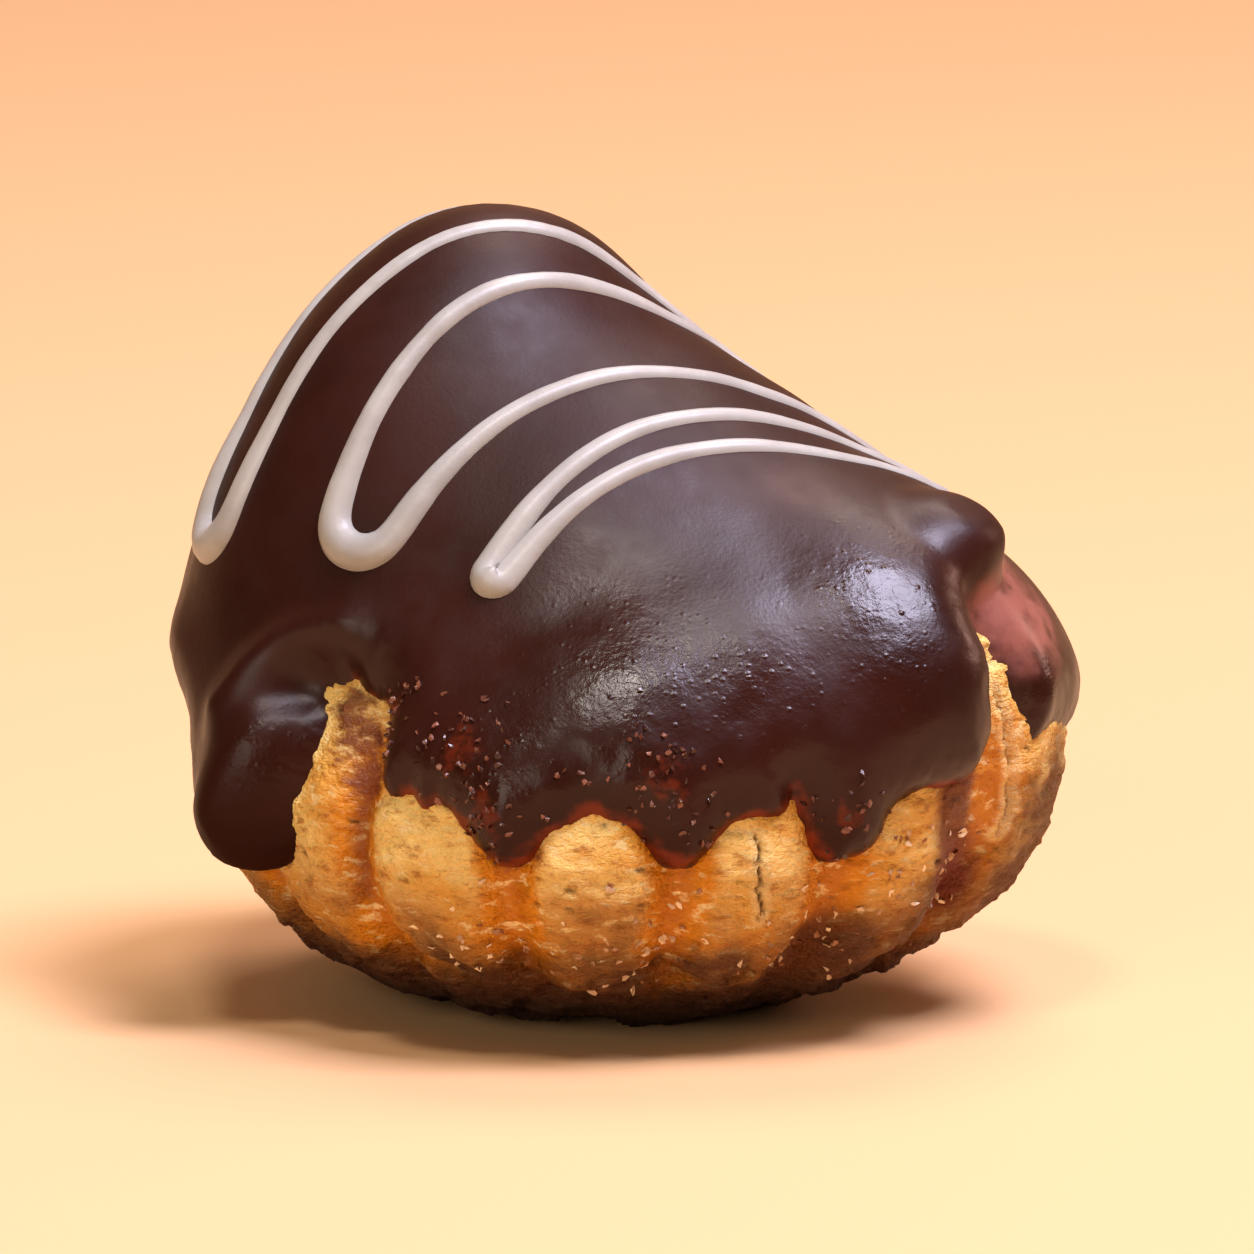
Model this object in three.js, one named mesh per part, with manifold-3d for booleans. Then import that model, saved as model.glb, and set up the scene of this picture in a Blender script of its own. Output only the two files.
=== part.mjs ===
// A profiterole: one choux bun, tall at the back and low at the nose, with grooves from the star
// nozzle round its foot. A poured coat of dark chocolate covers it and ends in drips, and a zigzag
// of white chocolate is piped over the coat. Millimetres, +Z up, standing on its flat underside.

import * as THREE from 'three';
import { mergeVertices } from 'three/addons/utils/BufferGeometryUtils.js';
import Module from 'manifold-3d';

const { degToRad, radToDeg, smoothstep } = THREE.MathUtils;
const UP = new THREE.Vector3(0, 0, 1);

// The bun is rounded lumps that flow into one another: middle, half sizes and turn about Z.
const LUMPS = [
  { middle: [-0.9, -0.6, 9.6], half: [16.7, 18.6, 10.5], turn: 0 }, // foot
  { middle: [-7.0, 3.0, 15.0], half: [11.4, 12.5, 13.5], turn: -40 }, // back
  { middle: [-6.2, 3.2, 23.0], half: [7.6, 9.6, 11.2], turn: -40 }, // peak
  { middle: [0.6, -0.2, 14.5], half: [12.0, 12.8, 13.4], turn: -40 }, // saddle
  { middle: [9.8, -4.7, 12.8], half: [9.8, 11.6, 9.8], turn: -40 }, // nose
];
const LUMP_BLEND = 5.0;
const HEART_HEIGHT = 12.0;
// Where the heart's axis stands, so that the middle of the whole is over the origin.
const PLACE = { x: -0.6, y: 0.64 };
const LONGEST_RAY = 45.0;
const SEARCH_STEPS = 34;
const SLOPE_STEP = 0.02;

// Grooves that the star nozzle leaves between the ribs of choux.
const RIB_COUNT = 14;
const RIB_FIRST_AZIMUTH = -82;
const RIB_UNEVEN = -3;
const RIB_DEPTH = 1.0;
const RIB_NARROWNESS = 6;
const RIB_FOOT = { from: 0.6, to: 3.5 };
const RIB_FADE = { from: 11.0, to: 17.0 };

// The coat of chocolate, and the clearance under it.
const ICING_GAP = 0.35;
const ICING_THICKNESS = 1.25;
const ICING_RIM = 0.4;
const LIP_REACH = 3.2;

// The coat's lower edge: a level with drips (reach down) and gaps (reach up, negative) by azimuth.
const EDGE_LEVEL = 11.6;
const EDGE_WAVES = [
  { azimuth: -136.6, half: 10.0, reach: -4.3, bluntness: 6 },
  { azimuth: -142.6, half: 4.5, reach: -1.6, bluntness: 2 },
  { azimuth: -120.0, half: 6.0, reach: -0.8, bluntness: 2 },
  { azimuth: -105.5, half: 5.5, reach: 1.9, bluntness: 2 },
  { azimuth: -81.8, half: 4.8, reach: 2.0, bluntness: 2 },
  { azimuth: -58.2, half: 5.4, reach: 2.2, bluntness: 4 },
  { azimuth: -44.0, half: 7.0, reach: -0.6, bluntness: 2 },
  { azimuth: -33.2, half: 3.4, reach: -6.4, bluntness: 2 },
  { azimuth: -20.0, half: 16.0, reach: -1.5, bluntness: 2 },
  { azimuth: 14.0, half: 8.0, reach: 1.6, bluntness: 2 },
  { azimuth: 38.0, half: 9.0, reach: -2.4, bluntness: 2 },
  { azimuth: 62.0, half: 9.0, reach: 2.6, bluntness: 2 },
  { azimuth: 88.0, half: 9.0, reach: -1.6, bluntness: 2 },
  { azimuth: 112.0, half: 7.0, reach: 2.0, bluntness: 2 },
  { azimuth: 140.0, half: 13.0, reach: -1.5, bluntness: 2 },
  { azimuth: 158.0, half: 6.0, reach: 1.2, bluntness: 2 },
  { azimuth: 178.0, half: 10.0, reach: -2.4, bluntness: 2 },
];

// One heavy drip runs down the left flank, with a steeper lip than the rest of the coat, and a knob of
// chocolate stands out over the nose.
const DRIP = { azimuth: -156.5, half: 14.6, foot: 8.1, bluntness: 7 };
const DRIP_SWELL = { azimuth: -150.5, half: 8.5, height: 2.1, top: 19 };
const DRIP_STEEPNESS = 0.25;
const KNOB = { azimuth: -27.6, height: 21.4, radius: 2.6, halfHeight: 0.8 };

// The white chocolate zigzag: strokes over the top, each with the offset of its near and far end
// across the strokes, the angle of each end up from the far horizon, and how far its middle bows left.
const STROKE_TURN = 23;
const STROKES = [
  { nearOffset: 6.4, farOffset: 9.4, nearAngle: 147, farAngle: 40, bow: 0 },
  { nearOffset: 3.6, farOffset: 3.0, nearAngle: 147, farAngle: 38, bow: -0.2 },
  { nearOffset: -1.4, farOffset: 2.0, nearAngle: 140, farAngle: 38, bow: 0.9 },
  { nearOffset: -4.1, farOffset: -3.3, nearAngle: 140, farAngle: 36, bow: 0 },
  { nearOffset: -7.6, farOffset: -5.4, nearAngle: 132.5, farAngle: 36, bow: 0.4 },
  { nearOffset: -8.9, farOffset: -8.2, nearAngle: 132.5, farAngle: 38, bow: 0.5 },
];
const STROKE_POINTS = 14;
const TURN_POINTS = 6;
const TURN_REACH = 5.5;
const LINE_RADIUS = 0.6;
const LINE_SIDES = 6;
const LINE_STEP = 1.9;
const BLOB_RADIUS = 1.0;

// How finely the surfaces are split.
const BUN_COLUMNS = 98;
const BUN_COVERED_ROWS = 6;
const BUN_SHOWN_ROWS = 11;
const BUN_UNDER_ROWS = 2;
const BUN_SHOWN_FROM = 66;
const BUN_SHOWN_TO = 128;
const ICING_COLUMNS = 108;
const ICING_ROWS = 8;
const LIP_ROWS = [0.86, 0.92, 0.965, 0.99, 1];
const ROUND_SIDES = 12;
const ROUND_RINGS = 7;
const MERGE_DISTANCE = 1e-4;

const CHOUX_LOOK = { color: 0xd08a42, roughness: 0.75, metalness: 0 };
const ICING_LOOK = { color: 0x3a1c13, roughness: 0.35, metalness: 0 };

const lumps = LUMPS.map((lump) => ({
  middle: new THREE.Vector3(...lump.middle),
  half: new THREE.Vector3(...lump.half),
  turn: degToRad(lump.turn),
}));
const heart = new THREE.Vector3(0, 0, HEART_HEIGHT);

function lumpDistance(point, lump) {
  const ratio = point.clone().sub(lump.middle).applyAxisAngle(UP, -lump.turn).divide(lump.half);
  const reach = ratio.length();
  const slope = ratio.divide(lump.half).length();
  return (reach * (reach - 1)) / Math.max(slope, Number.EPSILON);
}

function smoothUnion(first, second) {
  const share = THREE.MathUtils.clamp(0.5 + (0.5 * (second - first)) / LUMP_BLEND, 0, 1);
  return second + (first - second) * share - LUMP_BLEND * share * (1 - share);
}

// Signed distance to the bun, nearly: the lumps joined, cut flat at the table.
function bunDistance(point) {
  const joined = lumps.map((lump) => lumpDistance(point, lump)).reduce(smoothUnion);
  return Math.max(joined, -point.z);
}

function halve(low, high, isBefore) {
  for (let step = 0; step < SEARCH_STEPS; step += 1) {
    const middle = (low + high) / 2;
    if (isBefore(middle)) {
      low = middle;
    } else {
      high = middle;
    }
  }
  return (low + high) / 2;
}

function alongRay(start, direction, length) {
  return direction.clone().multiplyScalar(length).add(start);
}

function bunHit(start, direction) {
  const length = halve(0, LONGEST_RAY, (reach) => bunDistance(alongRay(start, direction, reach)) < 0);
  return alongRay(start, direction, length);
}

// The bun's surface, by azimuth about Z and polar angle from the top, in degrees.
function bunPoint(azimuth, polar) {
  const level = new THREE.Vector3(1, 0, 0).applyAxisAngle(UP, degToRad(azimuth));
  const direction = level.multiplyScalar(Math.sin(degToRad(polar)));
  direction.addScaledVector(UP, Math.cos(degToRad(polar)));
  return bunHit(heart, direction);
}

function bunNormal(point) {
  const slopes = ['x', 'y', 'z'].map((axis) => {
    const ahead = point.clone();
    ahead[axis] += SLOPE_STEP;
    const behind = point.clone();
    behind[axis] -= SLOPE_STEP;
    return bunDistance(ahead) - bunDistance(behind);
  });
  return new THREE.Vector3(...slopes).normalize();
}

function raised(point, height) {
  return alongRay(point, bunNormal(point), height);
}

// The polar angle at which the bun's side comes down to a height.
function polarAtHeight(azimuth, height) {
  return halve(0, BUN_SHOWN_TO, (polar) => bunPoint(azimuth, polar).z > height);
}

function azimuthOf(point) {
  return radToDeg(Math.atan2(point.y, point.x));
}

function turnBetween(azimuth, other) {
  return THREE.MathUtils.euclideanModulo(azimuth - other + 180, 360) - 180;
}

function bell(distance, half, power = 2) {
  return Math.exp(-Math.pow(Math.abs(distance / half), power));
}

// Depth of the nozzle's grooves: smooth valleys between broad ribs, gone at the table and under the coat.
function grooveDepth(point) {
  const azimuth = azimuthOf(point);
  const uneven = RIB_UNEVEN * Math.sin(degToRad(2 * azimuth));
  const phase = degToRad((RIB_COUNT / 2) * (azimuth - RIB_FIRST_AZIMUTH + uneven));
  const groove = Math.pow(Math.cos(phase), RIB_NARROWNESS);
  const foot = smoothstep(point.z, RIB_FOOT.from, RIB_FOOT.to);
  const fade = 1 - smoothstep(point.z, RIB_FADE.from, RIB_FADE.to);
  return RIB_DEPTH * groove * foot * fade;
}

function edgeHeight(azimuth) {
  const waved = EDGE_WAVES.reduce((height, wave) => (
    height - wave.reach * bell(turnBetween(azimuth, wave.azimuth), wave.half, wave.bluntness)
  ), EDGE_LEVEL);
  const inDrip = bell(turnBetween(azimuth, DRIP.azimuth), DRIP.half, DRIP.bluntness);
  return THREE.MathUtils.lerp(waved, DRIP.foot, inDrip);
}

const columnAzimuths = Array.from({ length: ICING_COLUMNS }, (_, column) => (360 * column) / ICING_COLUMNS);
const edgePolars = columnAzimuths.map((azimuth) => polarAtHeight(azimuth, edgeHeight(azimuth)));
const edgePoints = columnAzimuths.map((azimuth, column) => bunPoint(azimuth, edgePolars[column]));
const edgeLines = edgePoints.map((point, column) => (
  new THREE.Line3(point, edgePoints[(column + 1) % ICING_COLUMNS])
));

function edgeDistance(point) {
  const nearest = new THREE.Vector3();
  const distances = edgeLines.map((line) => (
    line.closestPointToPoint(point, true, nearest).distanceTo(point)
  ));
  return Math.min(...distances);
}

// A rounded lip at the edge, full thickness above it, and more on the heavy drip.
function icingThickness(point) {
  const across = bell(turnBetween(azimuthOf(point), DRIP_SWELL.azimuth), DRIP_SWELL.half);
  const onDrip = across * (1 - smoothstep(point.z, DRIP.foot, DRIP_SWELL.top));
  const reach = LIP_REACH * (1 - DRIP_STEEPNESS * Math.min(2 * onDrip, 1));
  const inward = 1 - Math.min(edgeDistance(point) / reach, 1);
  const lip = Math.sqrt(1 - inward * inward);
  return ICING_RIM + (ICING_THICKNESS - ICING_RIM + DRIP_SWELL.height * onDrip) * lip;
}

// One closed surface from rows of points: a fan at each pole and quads between neighbouring rows.
function wrapRows(firstPole, rows, lastPole) {
  const points = [firstPole, ...rows.flat(), lastPole];
  const columns = rows[0].length;
  const last = points.length - 1;
  const at = (row, column) => 1 + row * columns + (column % columns);
  const faces = [];
  for (let column = 0; column < columns; column += 1) {
    faces.push(0, at(0, column), at(0, column + 1));
    for (let row = 0; row + 1 < rows.length; row += 1) {
      faces.push(at(row, column), at(row + 1, column), at(row + 1, column + 1));
      faces.push(at(row, column), at(row + 1, column + 1), at(row, column + 1));
    }
    faces.push(last, at(rows.length - 1, column + 1), at(rows.length - 1, column));
  }
  const geometry = new THREE.BufferGeometry().setFromPoints(points);
  geometry.setIndex(faces);
  geometry.computeVertexNormals();
  return geometry;
}

function evenSteps(from, to, count) {
  return Array.from({ length: count }, (_, step) => from + ((to - from) * (step + 1)) / count);
}

function chouxBun() {
  const polars = [
    ...evenSteps(0, BUN_SHOWN_FROM, BUN_COVERED_ROWS),
    ...evenSteps(BUN_SHOWN_FROM, BUN_SHOWN_TO, BUN_SHOWN_ROWS),
    ...evenSteps(BUN_SHOWN_TO, 180, BUN_UNDER_ROWS + 1).slice(0, -1),
  ];
  const rows = polars.map((polar) => Array.from({ length: BUN_COLUMNS }, (_, column) => {
    const point = bunPoint((360 * column) / BUN_COLUMNS, polar);
    return raised(point, -grooveDepth(point));
  }));
  return wrapRows(bunPoint(0, 0), rows, bunPoint(0, 180));
}

function icingShell() {
  const shares = [...evenSteps(0, LIP_ROWS[0], ICING_ROWS).slice(0, -1), ...LIP_ROWS];
  const skin = shares.map((share) => columnAzimuths.map((azimuth, column) => (
    bunPoint(azimuth, share * edgePolars[column])
  )));
  const apex = bunPoint(0, 0);
  const outside = (point) => raised(point, ICING_GAP + icingThickness(point));
  const inside = (point) => raised(point, ICING_GAP);
  const outerRows = skin.map((row) => row.map(outside));
  const innerRows = skin.map((row) => row.map(inside)).reverse();
  return wrapRows(outside(apex), [...outerRows, ...innerRows], inside(apex));
}

// A point on top of the coat, by offset across the strokes and angle up from the far horizon.
function onIcing(offset, angle) {
  const along = new THREE.Vector3(1, 0, 0).applyAxisAngle(UP, degToRad(STROKE_TURN));
  const across = new THREE.Vector3(0, 1, 0).applyAxisAngle(UP, degToRad(STROKE_TURN));
  const start = alongRay(heart, across, offset);
  const direction = along.multiplyScalar(Math.cos(degToRad(angle)));
  direction.addScaledVector(UP, Math.sin(degToRad(angle)));
  const hit = bunHit(start, direction);
  return raised(hit, ICING_GAP + icingThickness(hit));
}

// The half turn between a stroke's end and the next one's, as offsets and angles.
function halfTurn(from, to, reach) {
  return evenSteps(0, Math.PI, TURN_POINTS).slice(0, -1).map((swing) => {
    const share = (1 - Math.cos(swing)) / 2;
    return {
      offset: THREE.MathUtils.lerp(from.offset, to.offset, share),
      angle: THREE.MathUtils.lerp(from.angle, to.angle, share) + reach * Math.sin(swing),
    };
  });
}

// Strokes run from the far side to the near side and back in turn.
function drizzleRoute() {
  const ends = STROKES.map((stroke, index) => {
    const near = { offset: stroke.nearOffset, angle: stroke.nearAngle };
    const far = { offset: stroke.farOffset, angle: stroke.farAngle };
    return index % 2 === 0 ? [far, near] : [near, far];
  });
  return ends.flatMap(([start, end], index) => {
    const line = evenSteps(0, 1, STROKE_POINTS).map((share) => {
      const bowed = STROKES[index].bow * Math.sin(Math.PI * share);
      return {
        offset: THREE.MathUtils.lerp(start.offset, end.offset, share) + bowed,
        angle: THREE.MathUtils.lerp(start.angle, end.angle, share),
      };
    });
    if (index + 1 === ends.length) {
      return line;
    }
    const reach = index % 2 === 0 ? TURN_REACH : -TURN_REACH;
    return [...line, ...halfTurn(end, ends[index + 1][0], reach)];
  });
}

function drizzleLine() {
  const curve = new THREE.CatmullRomCurve3(drizzleRoute().map((spot) => onIcing(spot.offset, spot.angle)));
  const corners = evenSteps(0, 2 * Math.PI, LINE_SIDES).map((angle) => (
    new THREE.Vector2(LINE_RADIUS * Math.cos(angle), LINE_RADIUS * Math.sin(angle))
  ));
  return new THREE.ExtrudeGeometry(new THREE.Shape(corners), {
    extrudePath: curve,
    steps: Math.round(curve.getLength() / LINE_STEP),
    bevelEnabled: false,
  });
}

// A thicker blob where the bag slowed down at each near turn.
function drizzleBlobs() {
  const outward = STROKES.filter((_, index) => index % 2 === 0);
  const homeward = STROKES.filter((_, index) => index % 2 === 1);
  return outward.map((stroke, index) => {
    const offset = (stroke.nearOffset + homeward[index].nearOffset) / 2;
    const middle = onIcing(offset, stroke.nearAngle + TURN_REACH);
    return new THREE.SphereGeometry(BLOB_RADIUS, ROUND_SIDES, ROUND_RINGS).translate(...middle.toArray());
  });
}

// A flattened knob that sits in the coat, its middle level with the coat's outside.
function knob() {
  const foot = bunPoint(KNOB.azimuth, polarAtHeight(KNOB.azimuth, KNOB.height));
  const outward = bunNormal(foot);
  const middle = raised(foot, ICING_GAP + ICING_THICKNESS);
  const geometry = new THREE.SphereGeometry(1, ROUND_SIDES, ROUND_RINGS);
  geometry.rotateX(Math.PI / 2);
  geometry.scale(KNOB.radius, KNOB.radius, KNOB.halfHeight);
  geometry.applyQuaternion(new THREE.Quaternion().setFromUnitVectors(UP, outward));
  return geometry.translate(...middle.toArray());
}

const wasm = await Module();
wasm.setup();

function toSolid(geometry) {
  const bare = geometry.clone();
  bare.deleteAttribute('normal');
  bare.deleteAttribute('uv');
  const merged = mergeVertices(bare, MERGE_DISTANCE);
  return new wasm.Manifold(new wasm.Mesh({
    numProp: 3,
    vertProperties: Float32Array.from(merged.attributes.position.array),
    triVerts: Uint32Array.from(merged.index.array),
  }));
}

function toGeometry(solid) {
  const mesh = solid.getMesh();
  const geometry = new THREE.BufferGeometry();
  geometry.setAttribute('position', new THREE.BufferAttribute(mesh.vertProperties, 3));
  geometry.setIndex(new THREE.BufferAttribute(mesh.triVerts, 1));
  geometry.computeVertexNormals();
  return geometry;
}

function chocolateIcing() {
  const added = [knob(), drizzleLine(), ...drizzleBlobs()].map(toSolid);
  const joined = added.reduce((solid, piece) => solid.add(piece), toSolid(icingShell()));
  return toGeometry(joined);
}

function part(name, geometry, look) {
  const mesh = new THREE.Mesh(geometry, new THREE.MeshStandardMaterial(look));
  mesh.name = name;
  return mesh;
}

const profiterole = new THREE.Group();
profiterole.position.set(PLACE.x, PLACE.y, 0);
profiterole.add(part('choux_bun', chouxBun(), CHOUX_LOOK));
profiterole.add(part('chocolate_icing', chocolateIcing(), ICING_LOOK));

export default profiterole;
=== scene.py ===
import math

import bpy
import numpy as np
from bpy.props import FloatProperty, FloatVectorProperty, IntProperty, PointerProperty
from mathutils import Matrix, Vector
from mathutils.kdtree import KDTree


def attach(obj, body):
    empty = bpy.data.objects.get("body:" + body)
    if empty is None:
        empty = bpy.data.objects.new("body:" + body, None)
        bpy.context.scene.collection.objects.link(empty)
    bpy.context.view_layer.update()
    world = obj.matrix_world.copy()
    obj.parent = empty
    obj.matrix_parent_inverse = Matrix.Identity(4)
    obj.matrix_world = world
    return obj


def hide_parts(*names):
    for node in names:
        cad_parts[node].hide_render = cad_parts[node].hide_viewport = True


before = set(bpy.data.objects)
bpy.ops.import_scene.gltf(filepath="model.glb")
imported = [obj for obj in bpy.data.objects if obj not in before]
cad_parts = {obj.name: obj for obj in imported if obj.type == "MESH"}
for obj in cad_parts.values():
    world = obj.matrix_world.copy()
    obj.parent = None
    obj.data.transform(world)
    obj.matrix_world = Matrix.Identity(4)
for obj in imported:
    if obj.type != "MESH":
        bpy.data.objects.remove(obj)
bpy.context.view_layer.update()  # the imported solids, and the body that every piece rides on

bl_info = {
    "name": "Profiterole",
    "version": (1, 0, 0),
    "blender": (4, 5, 0),
    "location": "View3D > Sidebar > Profiterole",
    "description": "Makes the choux, the chocolate coat, the piped zigzag, the crumbs and the stage",
    "category": "Object",
}

BODY = "root"
MM = 0.001

# The bun's form, in millimetres and degrees about its heart's axis, as its solid has it: lumps that
# flow into one another, each with its middle, its half sizes and its turn about Z.
LUMPS = (
    ((-0.9, -0.6, 9.6), (16.7, 18.6, 10.5), 0.0),  # foot
    ((-7.0, 3.0, 15.0), (11.4, 12.5, 13.5), -40.0),  # back
    ((-6.2, 3.2, 23.0), (7.6, 9.6, 11.2), -40.0),  # peak
    ((0.6, -0.2, 14.5), (12.0, 12.8, 13.4), -40.0),  # saddle
    ((9.8, -4.7, 12.8), (9.8, 11.6, 9.8), -40.0),  # nose
)
LUMP_BLEND = 5.0
HEART = np.array((0.0, 0.0, 12.0))
PLACE = np.array((-0.6, 0.64, 0.0))
LONGEST_RAY = 45.0
SEARCH_STEPS = 28
SLOPE_STEP = 0.02

# The nozzle's grooves.
RIB_COUNT = 14
RIB_FIRST = -82.0  # azimuth of the first one
RIB_UNEVEN = -3.0  # degrees by which they are out of step
RIB_NARROWNESS = 6.0
RIB_WANDER = 0.9  # how far they wander, in radians of their phase
RIB_DRIFT_SIZE = 7.0  # length over which they wander
RIB_FOOT = (0.6, 3.5)  # heights over which they fade in at the foot
RIB_FADE = (11.0, 17.0)  # heights over which they fade out under the coat

# The coat's lower edge: a level with drips (reach down) and gaps (reach up, negative), each with its
# azimuth, half width, reach and bluntness. The last ones are small nicks.
EDGE_LEVEL = 11.6
EDGE_WAVES = (
    (-136.6, 10.0, -4.3, 6.0),
    (-142.6, 4.5, -1.6, 2.0),
    (-120.0, 6.0, -0.8, 2.0),
    (-105.5, 5.5, 1.9, 2.0),
    (-81.8, 4.8, 2.0, 2.0),
    (-58.2, 5.4, 2.2, 4.0),
    (-44.0, 7.0, -0.6, 2.0),
    (-33.2, 3.4, -6.4, 2.0),
    (-20.0, 16.0, -1.5, 2.0),
    (14.0, 8.0, 1.6, 2.0),
    (38.0, 9.0, -2.4, 2.0),
    (62.0, 9.0, 2.6, 2.0),
    (88.0, 9.0, -1.6, 2.0),
    (112.0, 7.0, 2.0, 2.0),
    (140.0, 13.0, -1.5, 2.0),
    (158.0, 6.0, 1.2, 2.0),
    (178.0, 10.0, -2.4, 2.0),
    (-66.0, 1.3, -0.9, 2.0),
    (-118.0, 1.5, 0.5, 2.0),
    (-94.0, 2.0, -0.4, 2.0),
    (27.0, 1.6, -0.9, 2.0),
    (100.0, 1.5, -0.8, 2.0),
)
EDGE_POINTS = 9000

# The heavy drip on the left flank, and where it is thickest.
DRIP = {"azimuth": -156.5, "half": 14.6, "foot": 8.1, "bluntness": 7.0}
DRIP_SWELL = {"azimuth": -150.5, "half": 8.5, "height": 2.1, "top": 18.6}
DRIP_STEEPNESS = 0.25  # how much steeper its lip is than elsewhere
STEEP_SHARE = 0.5  # share of the drip from which its lip is that steep

# The knob over the nose and the way it leans, and the thin lobe that lies lower beside it.
KNOB = {"azimuth": -27.6, "height": 21.4, "radius": 3.1, "flat": 0.25, "rise": 0.5}
KNOB_LEAN = np.array((0.35, -0.1, 0.1))
LOBE = {"from": -34.0, "to": 8.0, "crease_from": 19.4, "crease_to": 22.0, "soft": 0.6, "drop": 0.8}
LOBE_START_FADE = 3.0  # degrees on each side of where the lobe starts
LOBE_END_FADE = 10.0  # degrees on each side of where it ends
# The lobe's pink is a painted reflection of the pale backdrop, which ends over these azimuths.
LOBE_REFLECTION_END = (-20.0, -6.0)  # azimuths over which its glow ends

# The shoulder, where the coat is heaped up in front of the lobe.
SHOULDER_START = (-62.0, -40.0)  # azimuths over which it starts and ends
SHOULDER_END = (-24.0, -10.0)
SHOULDER_FOOT = (12.0, 17.0)  # heights over which it starts and ends
SHOULDER_TOP = (20.0, 25.0)
SHOULDER_RISE = 0.8

# A fold of chocolate that runs from above the gap round into the heavy drip, as azimuths and heights
# along its crest.
FOLD = ((-141.0, 17.9), (-145.1, 17.7), (-150.2, 17.1), (-153.6, 15.9), (-156.2, 14.4))
FOLD_HALF_WIDTH = 1.3
FOLD_RISE = 0.8

# Where the coat swells up or sinks in: azimuth, height, radius and rise of each place.
SWELLS = (
    (-89.0, 16.2, 3.4, 0.5),  # belly in front
    (-178.0, 15.6, 2.6, 0.5),  # lip above the heavy drip
    (-145.4, 15.6, 1.7, -1.5),  # hollow under the fold
)

# Patches on the surface, here and below, each with its azimuth, height and radius: where the coat set
# dull, and where it set with a coarse grain.
DULL = ((-31.5, 19.8, 1.3), (-24.0, 20.4, 1.6))
GRAINY = (
    (-89.0, 16.5, 4.5),
    (-108.0, 13.4, 3.6),
    (-86.0, 12.8, 2.4),
    (-70.0, 16.0, 3.4),
    (-50.0, 19.6, 3.2),
    (-51.0, 17.0, 2.6),
    (-145.0, 12.6, 1.7),
    (-24.0, 15.4, 1.4),
    (70.0, 17.0, 6.0),
)

# The zigzag: strokes over the top, each with the offset of its near and far end across the strokes,
# the angle of each end up from the far horizon, and how far its middle bows to the left.
STROKE_TURN = 23.0
STROKES = (
    (6.4, 9.4, 147.0, 40.0, 0.0),
    (3.6, 3.0, 147.0, 38.0, -0.2),
    (-1.4, 2.0, 140.0, 38.0, 0.9),
    (-4.1, -3.3, 140.0, 36.0, 0.0),
    (-7.9, -5.4, 136.6, 36.0, 0.4),
    (-8.6, -8.2, 136.6, 38.0, 0.5),
)
STROKE_POINTS = 70
TURN_POINTS = 24
EASE_POINTS = 4  # neighbours on each side that a point is evened out with
TURN_REACH = 2.1  # degrees that a turn reaches on for each millimetre between its strokes
# Half widths as shares of the line's usual one.
END_SHARES = (0.35, 0.7, 0.8, 0.8, 0.75)  # in the first sections and, backwards, in the last
FAR_SHARE = 0.75  # at a stroke's far end
SWELL_FROM = 0.8  # where along a stroke the line starts to swell to a near turn
SWELL_SHARE = 0.45  # how far it has swollen at the stroke's end
NOZZLE_SIDES = 14

# The crust's relief.
CRUST_LAYERING = 2.3  # how much flatter than wide its wrinkles, pits and scales are
GROOVE_CALM = 0.35  # how rough a groove stays
BURST_SHARE = 0.22  # share of the bubbles that burst
PIT_FLOOR = 0.08  # where a pit's floor ends, as a share of the pits' distance
PIT_RIM = 0.3  # where its rim lies
SCALY_FOOT = (2.0, 7.0)  # heights over which the scaly foot ends
SCALES_ABOVE = 0.16  # how scaly the crust is above it
CRACK_LIP_RISE = 0.3  # how far a crack's lips rise, as a share of its depth
FURROW_DEPTH = 0.7  # as a share of a groove's depth

# How detailed and how harsh the random values are.
WRINKLE_NOISE = (5.0, 0.68)
RAGGED_NOISE = (5.0, 0.62)
WAVE_NOISE = (1.0, 0.5)
EVEN_NOISE = (2.0, 0.5)

# Cracks in the crust, as azimuths and heights along each.
CRACKS = (
    ((-71.4, 10.6), (-70.6, 9.7), (-71.2, 9.3), (-70.3, 8.4), (-70.7, 8.0), (-69.7, 7.2), (-70.1, 6.7)),
    (
        (-32.8, 16.0), (-31.2, 14.6), (-31.0, 13.8), (-29.6, 12.4),
        (-29.4, 11.2), (-28.4, 10.2), (-29.4, 8.8),
    ),
    ((20.0, 10.4), (21.5, 9.4), (20.8, 8.8), (21.6, 7.8), (21.0, 7.0)),
    ((74.0, 9.6), (75.5, 8.6), (74.8, 7.9), (75.6, 7.0), (75.0, 6.2)),
    ((152.0, 10.6), (150.6, 9.4), (151.2, 8.8), (150.2, 7.8), (151.4, 6.8)),
)
CRACK_HALF_WIDTH = 0.1
LIP_HALF_WIDTH = 0.55

# Patches of the crust with thin chocolate smeared on them.
SMEARS = (
    (-134.0, 14.2, 2.0),
    (-137.0, 15.2, 1.5),
    (-131.0, 12.8, 1.7),
    (-104.5, 10.6, 1.8),
    (-82.0, 10.4, 1.4),
    (58.0, 9.4, 1.8),
    (110.0, 10.2, 1.6),
)
# Patches of the crust that are browned: the first three, on the lower right end, are painted shade, and
# the rest are toasted.
TOAST_AND_SHADE_PATCHES = (
    (-14.0, 8.0, 6.0),
    (-36.0, 6.0, 3.6),
    (-54.0, 4.6, 2.8),
    (36.0, 9.0, 4.0),
    (96.0, 8.5, 4.5),
    (165.0, 8.0, 4.0),
)
# Furrows, dented and darkened with painted shade: how dark, half width, and azimuths and heights along
# each.
FURROWS = (
    (0.5, 0.7, ((-131.2, 11.4), (-131.8, 9.0), (-133.0, 6.4))),
    (1.0, 1.5, ((-38.6, 13.4), (-40.4, 11.2), (-40.0, 10.2), (-38.8, 9.0), (-37.0, 7.6), (-32.0, 5.8))),
)
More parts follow.
